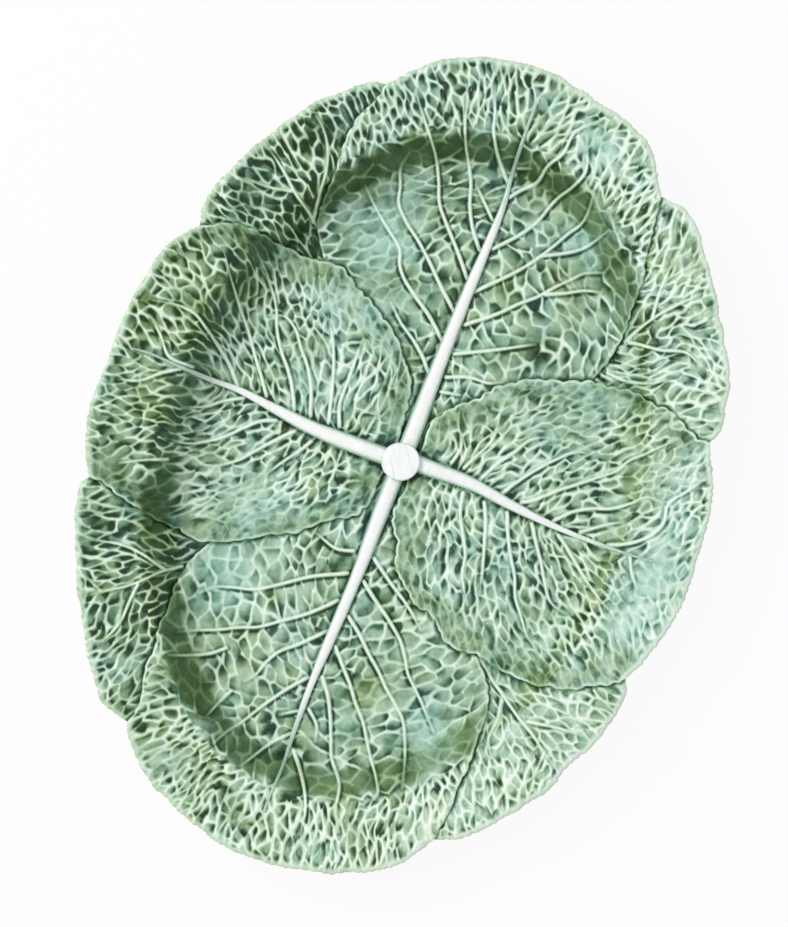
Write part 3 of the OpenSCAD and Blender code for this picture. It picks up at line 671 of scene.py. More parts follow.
def leaf_relief(name, parts, xs, ys, sizes):
    """Relief in mm above the dish, and the glaze values, on a raster over one leaf."""
    x, y = np.meshgrid(xs, ys, indexing="ij")
    code = list(RIMS).index(name)
    is_end = name in ("east", "west")
    vein_crest, net_crest = END_CRESTS if is_end else OTHER_CRESTS
    glaze = LEAF_GLAZE[name]

    def soft(size, seed):
        """Smooth random values over the leaf. Each use has a seed of its own."""
        return soft_values(x, y, size, seed + code)

    def over_zones(on_floor, on_wall, on_rim):
        return on_floor * floor + on_wall * wall + on_rim * rim

    def gap_to(kind, reach):
        return line_field(plain_lines(parts[kind]), xs, ys, reach)[0]

    depth = inset(x, y)
    floor, wall, rim, band = leaf_zones(name, depth, soft)

    # the side veins, and the glaze pooled beside them, with painted shade added on the side towards the
    # picture's lower edge, away from the lamp
    veins = side_vein_lines(name)
    gap, tall = line_field(veins, xs, ys, 7)
    tall = tall * (1 + 0.25 * soft(6, 305))
    vein = tall * hump(np.maximum(gap, 0), 0, vein_crest)
    near_vein = hump(np.maximum(gap, 0), 0, 1.6)
    away_x, away_y = np.gradient(gap, xs[1] - xs[0])
    lower = 0.5 - 0.5 * np.clip(0.94 * away_x + 0.34 * away_y, -1, 1)
    vein_pool_and_shade = hump(gap, 1.2, mix(0.6, 0.9, lower)) * np.minimum(1, tall) * mix(0.3, 1.35, lower)
    vein_pool_and_shade = vein_pool_and_shade * np.clip(0.75 + 0.9 * soft(9, 308), 0, 1.3)

    def marks(pitch, stretch, seed):
        """The net's ridge, the moat beside it, each cell's inside, crown and low side, and its own tone."""
        side, low, own = cell_network(veins, xs, ys, pitch, stretch, seed)
        side = side + 0.2 * soft(2.1, 300)
        return np.stack((hump(np.maximum(side, 0), 0, net_crest), hump(side, 1.22, 0.62),
                         ease((side - 0.45) / 0.8), ease(side / 2.2), low, own))

    # patches that were placed one by one, and the calm strip along the side leaves' free edges
    patch = [hue * hump(x, px, rx) * hump(y, py, ry) for px, py, rx, ry, hue in PATCHES]
    smooth = np.clip(sum(np.maximum(one, 0) for one in patch), 0, 1)
    dark = np.clip(sum(hump(x, px, rx) * hump(y, py, ry) for px, py, rx, ry in DARK_PLACES), 0, 1)
    edge_gap = gap_to("over", 22)
    calm = ease((edge_gap - 4) / 14) if name in ("north", "south") else 1.0

    # strength is how high the net stands, contrast how much the glaze shows it
    if is_end:
        # on the floor the small veins cross from one side vein to the next
        on_floor = marks(sizes.end_cell, FLOOR_STRETCH, DRAW_SEED + 10 * code)
        on_rim = marks(sizes.rim_cell, RIM_STRETCH, DRAW_SEED + 10 * code + 5)
        net = mix(on_floor, on_rim, ease(rim * 1.4 - 0.2))
        strength = over_zones(0.5, 0.35, 1.0)
        contrast = over_zones(0.95, mix(1.0, 0.6, band), 1.35)
        pooling = mix(1, 0.85, floor) * (1 - 0.5 * band)
    else:
        net = marks(sizes.side_cell, OTHER_STRETCH, DRAW_SEED + 10 * code)
        strength = over_zones(1.0, 0.9, 1.0) * mix(0.25, 1, calm)
        contrast = over_zones(1.3, 1.6, 1.3) * mix(0.28, 1, calm)
        if name == "north":
            contrast = contrast * (1 - 0.3 * band)
        # a pale leaf's pools are weaker
        pooling = 1 - 3.5 * glaze.tone
    ridge, moat, inner, crown, low, own = net
    strength = strength * (1 - 0.8 * smooth) * (1 - 0.6 * dark)
    lively = np.clip(0.95 + 0.5 * soft(15, 377), 0.55, 1.4)
    contrast = contrast * lively * (1 - 0.75 * smooth) * (1 - 0.4 * dark)

    # the relief in mm: the net fades in places, and each cell leans to one side
    bold = 0.6 + 0.4 * ease(0.5 + 0.8 * soft(7.5, 380))
    cells = NET_LINE * ridge * bold * (1 - near_vein) - NET_MOAT * moat
    cells = cells + NET_CROWN * crown * (1 + 0.4 * own) - NET_SLOPE * low
    pucker = LARGE_PUCKER * soft(17, 310) + SMALL_PUCKER * soft(7, 320)
    relief = vein - 0.45 * vein_pool_and_shade + strength * cells + pucker * mix(0.5, 1, floor)
    relief = softened(relief + SKIN_GRAIN * soft(1.6, 330))

    # how thin the glaze lies, from 0 in the deepest pool to 1 on the barest crest
    blot = soft(3.4, 385)
    thin = BASE_THIN + glaze.tone + 0.1 * soft(5.5, 340) + 0.05 * soft(1.4, 350) + 0.07 * soft(19, 345)
    thin += contrast * (0.05 * own + 0.06 * blot - 0.12 * low)
    pool = inner * np.clip(0.32 + 1.7 * low + 0.5 * blot + 0.3 * own, 0, 1.1)
    thin -= CELL_POOL * contrast * pooling * pool
    # pooled glaze beside the side veins, with painted shade on the side away from the lamp
    thin -= (0.6 if is_end else 0.4) * vein_pool_and_shade
    # the patches are painted paler, partly as painted reflection; the walls take a little as pooled glaze,
    # and the south wall is painted paler instead, as painted light where it faces the lamp
    thin += 0.12 * smooth - glaze.wall * wall
    thin = thin - glaze.band * band - glaze.rim * rim
    thin -= 0.24 * (1 - calm) * ease(0.3 + 1.2 * soft(3.4, 390))
    thin = np.maximum(thin - 0.2 * dark * (1 - 0.6 * band), 0.02)
    shown = np.clip(contrast * bold, 0, 0.92) * ridge * (1 - 0.5 * near_vein)
    bright = np.maximum(np.clip(vein / 0.75, 0, 1), shown)
    thin = mix(thin, 1.0, bright)

    # the leaf sinks beside its midrib, and glaze pools there and round the stem end
    if name in MIDRIBS:
        rib = smooth_line(MIDRIBS[name], 2.0)
        rib_gap, rib_wide = line_field([(rib[:, :2], rib[:, 2] / 2, rib[:, 2])], xs, ys, 9)
        fresh = np.clip(rib_wide / 5, 0.15, 1)
        relief = relief * ease((rib_gap + 0.5) / 2.2) - 0.9 * fresh * hump(rib_gap, 0.5, 1.4)
        thin -= 0.4 * fresh * hump(rib_gap, 0.2, 1.5) * (1 - 0.6 * ease(vein))
        stem_gap = np.hypot(x - STEM_CENTRE[0], y - STEM_CENTRE[1]) - STEM_RADIUS
        thin -= 0.45 * hump(np.maximum(stem_gap, 0), 0, 3.0)

    # the next value darkens the whole range: the band's pooled glaze, with painted shade set darker towards
    # the picture's left, where the walls and the rim face away from the lamp, and painted light towards its
    # right.
    # Hue runs from olive below 0 to aqua above
    left = 0.5 + 0.5 * np.clip(y / (70 if is_end else 120), -1, 1)
    deep_glaze_and_shade = mix(glaze.right, glaze.left, left) * band + 0.14 * (left - 0.5) * (1 + rim)
    deep_glaze_and_shade = (deep_glaze_and_shade + 0.08 * soft(22, 360)) * (1 - 0.8 * bright)
    hue = sum(patch) + 0.55 * soft(12, 370) + 0.32 * soft(4.5, 375)
    hue = hue - glaze.band_olive * band - 0.4 * dark - glaze.rim_olive * rim
    return {"relief": relief, "thin": np.clip(thin, 0, 1), "deep_glaze_and_shade": np.clip(deep_glaze_and_shade, -0.2, 1),
            "hue": np.clip(hue, -1, 1), "depth": depth, "rim_gap": gap_to("rim", 9), "over_gap": edge_gap,
            "under_gap": gap_to("under", 9), "x": x, "y": y}


def finish_edges(name, field):
    """Height, thin, deep and hue with the rounded rim, the bead on free edges and the groove below them."""
    rim_gap, over_gap, under_gap = field["rim_gap"], field["over_gap"], field["under_gap"]
    layer = LAYER_STEP * LARGE_LEAVES.get(name, 0)
    calm = ease(rim_gap / 3.5) * mix(0.35, 1, ease(over_gap / 2.5))
    z = dish_height(field["depth"]) + layer + field["relief"] * calm
    from_edge = np.clip(rim_gap / EDGE_ACROSS, 0, 1)
    z = z - EDGE_DOWN * (1 - np.sqrt(np.clip(1 - (1 - from_edge) ** 2, 0, 1)))
    lively = 0.7 + 0.45 * soft_values(field["x"], field["y"], 6, 395)
    z = z + BEAD_HEIGHT * lively * hump(over_gap, 1.0, 0.8) - 0.75 * (1 - np.clip(over_gap / 0.9, 0, 1)) ** 2
    z = z - GROOVE_DEPTH * hump(under_gap, 0.3, 1.3)
    # the glaze ran off the rim's teeth and the bead, and pools in the groove, which is also painted dark as
    # painted shadow under the edge of the leaf that lies over it
    rough = rim_gap - 0.9 * soft_values(field["x"], field["y"], 3.2, 397)
    thin = mix(field["thin"], 0.84, 0.85 * (1 - ease((rough - 1.5) / 2.4)))
    thin = mix(thin, 0.95, np.clip(lively, 0, 1) * hump(over_gap, 0.6, 0.75))
    thin = mix(thin, 0.0, 0.85 * np.clip(lively, 0.2, 1) * hump(under_gap, 0.2, 1.4))
    hue = mix(field["hue"], -0.75, 1 - ease((rough - 0.4) / 1.4))
    return z, np.clip(thin, 0, 1), field["deep_glaze_and_shade"], hue


def sample(values, xs, ys, points):
    """Values of a raster at single points, blended between its four nearest ones."""
    u = (points[:, 0] - xs[0]) / (xs[1] - xs[0])
    v = (points[:, 1] - ys[0]) / (ys[1] - ys[0])
    i, j = np.floor(u).astype(int), np.floor(v).astype(int)
    s, t = u - i, v - j
    return mix(mix(values[i, j], values[i + 1, j], s), mix(values[i, j + 1], values[i + 1, j + 1], s), t)


# Meshes


def triangles_between(points, edges, keep):
    """Triangles over the given plan points that hold the given edges, where keep says so of their middles."""
    flat = [Vector((float(px), float(py))) for px, py in points]
    edges = [tuple(map(int, edge)) for edge in edges]
    _, _, faces, origin, _, _ = delaunay_2d_cdt(flat, edges, [], 0, 1e-7)
    back = np.array([src[0] if src else -1 for src in origin])
    faces = np.array([face for face in faces if len(face) == 3])
    faces = back[faces]
    faces = faces[(faces >= 0).all(1)]
    points = np.asarray(points)
    a, b, c = (points[faces[:, k]] for k in range(3))
    area = (b[:, 0] - a[:, 0]) * (c[:, 1] - a[:, 1]) - (b[:, 1] - a[:, 1]) * (c[:, 0] - a[:, 0])
    faces = np.where((area < 0)[:, None], faces[:, ::-1], faces)[np.abs(area) > 1e-9]
    return faces[keep(points[faces].mean(1))]


def build_mesh(name, points, polygons, attributes, corner_uv, sharp=None):
    """A mesh piece in metres from points in mm, with its point values and its bake map.

    The polygons come in groups of one size each. Sharp names the points of a loop whose edges are sharp.
    """
    mesh = bpy.data.meshes.new(name)
    counts = np.concatenate([np.full(len(group), group.shape[1]) for group in polygons])
    corners = np.concatenate([group.ravel() for group in polygons])
    mesh.vertices.add(len(points))
    mesh.vertices.foreach_set("co", (np.asarray(points) * MM).astype(np.float32).ravel())
    mesh.loops.add(len(corners))
    mesh.loops.foreach_set("vertex_index", corners.astype(np.int32))
    mesh.polygons.add(len(counts))
    mesh.polygons.foreach_set("loop_start", np.concatenate(([0], np.cumsum(counts)[:-1])).astype(np.int32))
    mesh.polygons.foreach_set("loop_total", counts.astype(np.int32))
    mesh.update(calc_edges=True)
    if mesh.validate():
        raise RuntimeError(f"{name}: the mesh had faces that Blender had to mend")
    mesh.polygons.foreach_set("use_smooth", np.ones(len(counts), bool))
    for key, values in attributes.items():
        layer = mesh.attributes.new(key, "FLOAT", "POINT")
        layer.data.foreach_set("value", values.astype(np.float32))
    if corner_uv is not None:
        mesh.uv_layers.new(name="OFBake").data.foreach_set("uv", corner_uv.astype(np.float32).ravel())
    if sharp is not None:
        ends = np.zeros(len(mesh.edges) * 2, np.int32)
        mesh.edges.foreach_get("vertices", ends)
        ends = ends.reshape(-1, 2)
        on = (ends >= sharp[0]).all(1) & (ends < sharp[1]).all(1)
        step = np.abs(ends[:, 0] - ends[:, 1])
        on &= (step == 1) | (step == sharp[1] - sharp[0] - 1)
        layer = mesh.attributes.new("sharp_edge", "BOOLEAN", "EDGE")
        layer.data.foreach_set("value", on)
    mesh.update()
    piece = bpy.data.objects.new(name, mesh)
    bpy.context.scene.collection.objects.link(piece)
    return piece


def raster(outline, step, margin, last=0):
    """Places every step mm in x and in y, from the margin before the outline to the margin past it."""
    return [np.arange(math.floor((outline[:, k].min() - margin) / step),
                      math.ceil((outline[:, k].max() + margin) / step) + last) * step for k in (0, 1)]


def closed(outline):
    return plain_lines([np.vstack((outline, outline[:1]))])


def loop_edges(count):
    """Each point of a loop with the next one."""
    return np.stack((np.arange(count), (np.arange(count) + 1) % count), 1)


def whole_cells(solid):
    """The raster cells with four solid corners, the corners in use, and the cells' faces and border edges."""
    cell = solid[:-1, :-1] & solid[1:, :-1] & solid[:-1, 1:] & solid[1:, 1:]
    rows, columns = cell.shape
    used = np.zeros_like(solid)
    for di, dj in ((0, 0), (1, 0), (0, 1), (1, 1)):
        used[di:di + rows, dj:dj + columns] |= cell
    number = np.full(solid.shape, -1)
    number[used] = np.arange(used.sum())
    i, j = np.nonzero(cell)
    quads = np.stack((number[i, j], number[i + 1, j], number[i + 1, j + 1], number[i, j + 1]), 1)
    border = []
    padded = np.pad(cell, 1)
    # each side of a cell: the step to the cell beyond it, and its two corners
    for (di, dj), (p, q) in {(-1, 0): ((0, 0), (0, 1)), (1, 0): ((1, 0), (1, 1)),
                             (0, -1): ((0, 0), (1, 0)), (0, 1): ((0, 1), (1, 1))}.items():
        beyond = padded[1 + di:1 + di + rows, 1 + dj:1 + dj + columns]
        a, b = np.nonzero(cell & ~beyond)
        border.append(np.stack((number[a + p[0], b + p[1]], number[a + q[0], b + q[1]]), 1))
    return cell, used, quads, np.concatenate(border)


def border_band(outline, xs, ys, cell, grid_xy, border):
    """Triangles between the raster's cells and the outline, whose points follow those of the raster."""
    loop_count = len(outline)
    ring = np.unique(border)
    local = np.full(len(grid_xy), -1)
    local[ring] = np.arange(len(ring)) + loop_count

    def in_band(middles):
        a = np.clip(np.searchsorted(xs, middles[:, 0]) - 1, 0, cell.shape[0] - 1)
        b = np.clip(np.searchsorted(ys, middles[:, 1]) - 1, 0, cell.shape[1] - 1)
        return points_inside(outline, middles) & ~cell[a, b]

    edges = np.vstack((loop_edges(loop_count), local[border]))
    band = triangles_between(np.vstack((outline, grid_xy[ring])), edges, in_band)
    return np.concatenate((np.arange(loop_count) + len(grid_xy), ring))[band]


def outline_values(name, outline, parts, field, xs, ys):
    """Height and glaze values at the outline's own points, with exact places for each kind of edge."""
    flat = {key: sample(field[key], xs, ys, outline) for key in field if key not in ("x", "y", "depth")}
    flat.update(x=outline[:, 0], y=outline[:, 1], depth=inset(outline[:, 0], outline[:, 1]))
    for kind, lines in parts.items():
        if lines:
            away = [np.linalg.norm(outline[:, None] - line[None], axis=2).min(1) for line in lines]
            flat[kind + "_gap"] = np.where(np.min(away, 0) < 1e-6, 0, flat[kind + "_gap"])
    return finish_edges(name, flat)


def underside_net(outline):
    """Plan points of a leaf's underside, the outline's own ones first, and their triangles."""
    xs, ys = raster(outline, UNDERSIDE_STEP, 0, 1)
    clear = line_field(closed(outline), xs, ys, 3)[0]
    i, j = np.nonzero(is_inside(outline, xs, ys) & (clear > 1.6))
    points = np.vstack((outline, np.stack((xs[i], ys[j]), 1)))
    return points, triangles_between(points, loop_edges(len(outline)),
                                     lambda middles: points_inside(outline, middles))


def leaf_map(points, upper, loop_count, lower):
    """The bake map: the upper side large, the underside smaller beside it, the side as a strip."""
    size = np.ptp(points[:, :2], axis=0)
    order = (0, 1) if size[0] >= size[1] else (1, 0)
    length, width = size[order[0]], size[order[1]]
    plan = (points[:, :2] - points[:, :2].min(0))[:, order]
    top = plan * min(0.98 / length, 0.60 / width) + 0.01
    under = plan * min(0.98 / length, 0.32 / width) + np.array((0.01, 0.63))
    k = np.arange(loop_count)
    here, there = (np.stack((mix(0.01, 0.99, place / loop_count), np.full(loop_count, 0.985)), 1)
                   for place in (k, k + 1))
    drop = np.array((0, -0.02))
    strip = np.stack((here, here + drop, there + drop, there), 1).reshape(-1, 2)
    return np.vstack((*(top[faces.ravel()] for faces in upper), strip, under[lower.ravel()]))


def leaf_piece(name, outline, parts, sizes, step):
    """One glazed leaf: relief on a fine grid, joined to its exact outline, with its side and underside."""
    xs, ys = raster(outline, step, 3)
    field = leaf_relief(name, parts, xs, ys, sizes)
    on_grid = finish_edges(name, field)
    around = line_field(closed(outline), xs, ys, 3)[0]
    cell, used, quads, border = whole_cells(is_inside(outline, xs, ys) & (around > 0.42 * step))
    grid_xy = np.stack((field["x"][used], field["y"][used]), 1)
    band = border_band(outline, xs, ys, cell, grid_xy, border)
    on_loop = outline_values(name, outline, parts, field, xs, ys)
    low_xy, lower = underside_net(outline)
    low_z = underside_height(inset(low_xy[:, 0], low_xy[:, 1]))

    # the points are the raster's, the outline's on the upper side and the underside's, in this order
    loop_count, loop_start = len(outline), len(grid_xy)
    low_start = loop_start + loop_count
    lower = lower[:, ::-1] + low_start
    k, after = loop_edges(loop_count).T
    side = np.stack((loop_start + k, low_start + k, low_start + after, loop_start + after), 1)
    points = np.vstack((
        np.column_stack((grid_xy, on_grid[0][used])),
        np.column_stack((outline, on_loop[0])),
        np.column_stack((low_xy, low_z)),
    ))
    attributes = {key: np.concatenate((on_grid[k][used], on_loop[k], np.full(len(low_xy), even)))
                  for k, (key, even) in enumerate(zip(("thin", "deep_glaze_and_shade", "hue"), UNDERSIDE_GLAZE), 1)}
    corner_uv = leaf_map(points, (quads, band), loop_count, lower)
    return build_mesh(f"{name}_leaf_glazed", points, [quads, band, side, lower], attributes, corner_uv,
                      (low_start, low_start + loop_count))


# Finishes


def read_value(tree, name):
    """What the mesh's points hold under a name."""
    return add_node(tree, "ShaderNodeAttribute", {"attribute_name": name}).outputs["Fac"]


def object_place(tree):
    return add_node(tree, "ShaderNodeTexCoord").outputs["Object"]


def noise(tree, place, size, detail):
    """Smooth random values whose marks are about size mm across."""
    return add_node(tree, "ShaderNodeTexNoise", values={"Scale": 1 / (size * MM), "Detail": detail},
                    links={"Vector": place}).outputs["Fac"]


def maths(tree, operation, *terms, clamp=False):
    """The result of an operation on numbers and outputs of other nodes."""
    numbers = {k: term for k, term in enumerate(terms) if isinstance(term, float)}
    sources = {k: term for k, term in enumerate(terms) if k not in numbers}
    return add_node(tree, "ShaderNodeMath", {"operation": operation, "use_clamp": clamp},
                    numbers, sources).outputs[0]


def blend(tree, share, first, second):
    """A colour between two others."""
    return add_node(tree, "ShaderNodeMix", {"data_type": "RGBA"},
                    links={"Factor": share, 6: first, 7: second}).outputs[2]


def ramp(tree, level, stops):
    return add_node(tree, "ShaderNodeValToRGB", links={"Fac": level}, stops=stops).outputs[0]


def span(tree, value, values):
    """A value moved to another range."""
    return add_node(tree, "ShaderNodeMapRange", values=values, links={"Value": value}).outputs[0]


def coat(tree, output, values, links, grain, strength, depth):
    """Joins a surface to the material's output, with a grain that stands depth mm high."""
    bump = add_node(tree, "ShaderNodeBump", values={"Strength": strength, "Distance": depth * MM},
                    links={"Height": grain})
    surface = add_node(tree, "ShaderNodeBsdfPrincipled", values=values,
                       links={**links, "Normal": bump.outputs[0]})
    tree.links.new(surface.outputs[0], output.inputs["Surface"])


def leaf_glaze(settings, name):
    """Green lead-type glaze on cream earthenware, flowed on by dipping.

    It breaks to pale mint where it ran thin over the veins and pools to dark teal and olive in the hollows;
    painted shade darkens it further and painted light pales it.
    """
    material, tree, output = new_material(name)
    place = object_place(tree)
    # streaks of the glaze about 3 mm across, which shift how thin it lies
    streak = noise(tree, place, 3, 3.0)
    thin = maths(tree, "ADD", read_value(tree, "thin"), maths(tree, "MULTIPLY_ADD", streak, 0.2, -0.1))
    # where the glaze pools thick, and where shade is painted, the whole range darkens; where light is painted
    # it lightens
    clear = maths(tree, "MULTIPLY_ADD", read_value(tree, "deep_glaze_and_shade"), -0.55, 1.0)
    level = maths(tree, "MULTIPLY", thin, clear, clamp=True)

    def shades(pool, crest, *between):
        """Colours from the deepest pool to the barest crest."""
        stops = [(0.0, tuple(pool)), (1.0, tuple(crest))]
        return ramp(tree, level, stops + [(at, linear(text)) for at, text in zip((0.2, 0.45, 0.7), between)])

    green = shades(settings.pool_colour, settings.crest_colour, "#426549", "#84a789", "#b6d3b9")
    aqua = shades(settings.teal_colour, settings.crest_colour, "#406c64", "#86b1a1", "#b8dacb")
    olive = shades(settings.olive_colour, linear("#ecf5e6"), "#3d5a2b", "#7b9968", "#b0c8a0")
    hue = read_value(tree, "hue")
    cooled = blend(tree, maths(tree, "MULTIPLY", hue, 1.0, clamp=True), green, aqua)
    colour = blend(tree, maths(tree, "MULTIPLY", hue, -1.0, clamp=True), cooled, olive)
    gloss = span(tree, streak, {"To Min": 0.18, "To Max": 0.3})
    # ripples of the glaze about 1.5 mm apart
    coat(tree, output, {"IOR": 1.52, "Specular IOR Level": 0.35}, {"Base Color": colour, "Roughness": gloss},
         noise(tree, place, 1.5, 2.0), 0.25, 0.12)
    return material


def rib_glaze(settings, name, brush_angle=None):
    """Clear glaze over white earthenware, with a mint tint where it thickens down the sides."""
    material, tree, output = new_material(name)
    # the brush draws its marks out along its stroke
    longer, first_stain, most_stain = (9, 0.52, 0.3) if brush_angle else (1, 0.35, 0.14)
    turned = add_node(tree, "ShaderNodeMapping", {"vector_type": "TEXTURE"},
                      {"Rotation": (0, 0, brush_angle or 0), "Scale": (longer, 1, 1)},
                      {"Vector": object_place(tree)})
    # brush and mould marks about 1.6 mm apart
    marks = noise(tree, turned.outputs[0], 1.6, 1.5)
    stain = span(tree, marks, {"From Min": first_stain, "From Max": 0.75,
                               "To Min": 0.0, "To Max": most_stain})
    level = maths(tree, "ADD", stain, read_value(tree, "flank"), clamp=True)
    colour = ramp(tree, level, [(0.04, tuple(settings.rib_colour)), (1.0, linear("#5f8a70")),
                                (0.3, linear("#dbe8e0")), (0.6, linear("#b3d2bf"))])
    gloss = span(tree, marks, {"To Min": 0.16, "To Max": 0.26})
    coat(tree, output, {"IOR": 1.5}, {"Base Color": colour, "Roughness": gloss}, marks, 0.2, 0.1)
    return material


def foot_clay(settings, name):
    """Cream earthenware with a thin pale glaze wiped off the standing face, so the ring shows matt clay."""
    material, tree, output = new_material(name)
    # grains of the clay about 0.9 mm across
    grain = noise(tree, object_place(tree), 0.9, 4.0)
    colour = ramp(tree, grain, [(0.3, linear("#cfc3a8")), (0.75, tuple(settings.clay_colour))])
    coat(tree, output, {"Roughness": 0.75, "IOR": 1.5}, {"Base Color": colour}, grain, 0.4, 0.1)
    return material


# Settings


class PlatterSizes(PropertyGroup):
    """Sizes and glaze colours of the platter's visual model."""

    grid_step: FloatProperty(
        name="Grid step", description="Spacing of the leaves' fine grid, in mm", default=0.52, min=0.4, max=4)
    side_cell: FloatProperty(
        name="Side cell", description="Size of a cell on the side and corner leaves, in mm", default=5.7,
        min=3, max=12)
    rim_cell: FloatProperty(
        name="Rim cell", description="Size of a cell on the end leaves' rim, in mm", default=5.6,
        min=3, max=12)
    end_cell: FloatProperty(
        name="End cell", description="Size of a cell on the end leaves' floor, in mm", default=7.6,
        min=3, max=12)
    tooth_pitch: FloatProperty(
        name="Tooth pitch", description="Spacing of the rim's small teeth, in mm", default=3.6, min=2, max=10)
    tooth_depth: FloatProperty(
        name="Tooth depth", description="Depth of the rim's small teeth, in mm", default=0.65, min=0, max=3)
    foot_segments: IntProperty(
        name="Foot segments", description="Steps round the foot ring", default=240, min=48)
    pool_colour: FloatVectorProperty(
        name="Pooled glaze", description="Glaze where it pools", subtype="COLOR", default=linear("#14301e"))
    teal_colour: FloatVectorProperty(
        name="Teal glaze", description="Cool glaze in pools", subtype="COLOR", default=linear("#183b37"))
    olive_colour: FloatVectorProperty(
        name="Olive glaze", description="Thick glaze on the wall", subtype="COLOR", default=linear("#15290a"))
    crest_colour: FloatVectorProperty(
        name="Thin glaze", description="Glaze over the veins", subtype="COLOR", default=linear("#ebf9ed"))
    rib_colour: FloatVectorProperty(
        name="Rib", description="White body under clear glaze", subtype="COLOR", default=linear("#f8f9f9"))
    clay_colour: FloatVectorProperty(
        name="Clay", description="Bare clay of the foot", subtype="COLOR", default=linear("#e6dcc6"))


# The pieces


def declare(piece, finish, node):
    """Gives the piece its finish, sets it to ride on the root body, and hides the CAD part of the node it
    stands for.
    """
    piece.data.materials.append(finish)
    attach(piece, "root")
    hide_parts(node)


def build_leaves(context, names, ending, finish_name):
    """Builds the named leaves in place of the nodes with the ending, all with one finish."""
    sizes = context.scene.platter_sizes
    step = sizes.grid_step
    outlines = leaf_outlines(sizes.tooth_pitch, sizes.tooth_depth)
    glaze = leaf_glaze(sizes, finish_name)
    for name in names:
        piece = leaf_piece(name, *outlines[name], sizes, step)
        piece.name = f"{name}_{ending}_glazed"
        declare(piece, glaze, f"{name}_{ending}")
    return {"FINISHED"}


class PLATTER_OT_large_leaves(Operator):
    """Build the four large leaves"""

    bl_idname = "platter.large_leaves"
    bl_label = "Large leaves"

    def execute(self, context):
        return build_leaves(context, LARGE_LEAVES, "leaf", "Green flowed glaze on earthenware")


class PLATTER_OT_corner_leaves(Operator):
    """Build the four corner leaves tucked under the large ones"""

    bl_idname = "platter.corner_leaves"
    bl_label = "Corner leaves"

    def execute(self, context):
        return build_leaves(context, CORNERS, "corner_leaf", "Green flowed glaze on outer leaves")


def ring_quads(count, around, joined=False):
    """Faces between count rows of points that each run round a ring. Joined adds those from last to first."""
    i, j = np.meshgrid(np.arange(count if joined else count - 1), np.arange(around), indexing="ij")
    k, after = (j + 1) % around, (i + 1) % count
    here, there = i * around, after * around
    return np.stack((here + j, there + j, there + k, here + k), 2).reshape(-1, 4)


def rib_piece(name, layer):
    """One midrib: a rounded bar that narrows and sinks into its leaf, set a little into the leaf's face."""
    line = smooth_line(MIDRIBS[name], 0.9)
    along, right = lengthwise(line)
    # across runs from one flank to the other, over half a turn of 24 steps
    turn = np.linspace(0, math.pi, 24 + 1)
    across, lift = -np.cos(turn), np.sin(turn) ** 0.8
    share = along / along[-1]
    width = line[:, 2] + 0.25 * swing(along, 6, 500 + len(name))
    height = 0.42 * line[:, 2] * (0.94 + 0.06 * swing(along, 9, 510 + len(name)))
    height *= 1 - 0.6 * ease((share - 0.86) / 0.14)
    base = dish_height(inset(line[:, 0], line[:, 1])) + LAYER_STEP * layer
    wobble = 1 + 0.05 * soft_values(*np.meshgrid(along, 3 * across, indexing="ij"), 2.5, 520)
    x, y = (line[:, k, None] + right[:, k, None] * across * width[:, None] / 2 for k in (0, 1))
    z = base[:, None] + height[:, None] * lift * wobble - RIB_SINK
    # under each flank the bar goes straight down into the leaf
    count, row = len(line), len(turn) + 2
    points = np.zeros((count, row, 3))
    points[:, 1:-1] = np.stack((x, y, z), 2)
    points[:, 0] = points[:, 1] - (0, 0, RIB_ROOT)
    points[:, -1] = points[:, -2] - (0, 0, RIB_ROOT)
    quads = ring_quads(count, row)[:, (0, 3, 2, 1)]
    k = np.arange(1, row - 1)
    caps = [np.stack((0 * k, k + 1, k), 1), np.stack((0 * k, k, k + 1), 1) + (count - 1) * row]
    # the tint of the glaze on the flanks, which covers the whole rib towards its tip
    flank = np.full((count, row), 0.8)
    flank[:, 1:-1] = 0.7 * ease((np.abs(across[None]) - mix(0.42, 0.7, share[:, None])) / 0.55)
    flank += (0.6 * ease((share - 0.6) / 0.22))[:, None]
    return build_mesh(f"{name}_midrib_glazed", points.reshape(-1, 3), [quads, *caps],
                      {"flank": np.clip(flank, 0, 1).ravel()}, None)


class PLATTER_OT_midribs(Operator):
    """Build the four white midribs"""

    bl_idname = "platter.midribs"
    bl_label = "Midribs"

    def execute(self, context):
        glaze = rib_glaze(context.scene.platter_sizes, "Clear glaze on white ribs")
        for name, layer in LARGE_LEAVES.items():
            declare(rib_piece(name, layer), glaze, f"{name}_midrib")
        return {"FINISHED"}


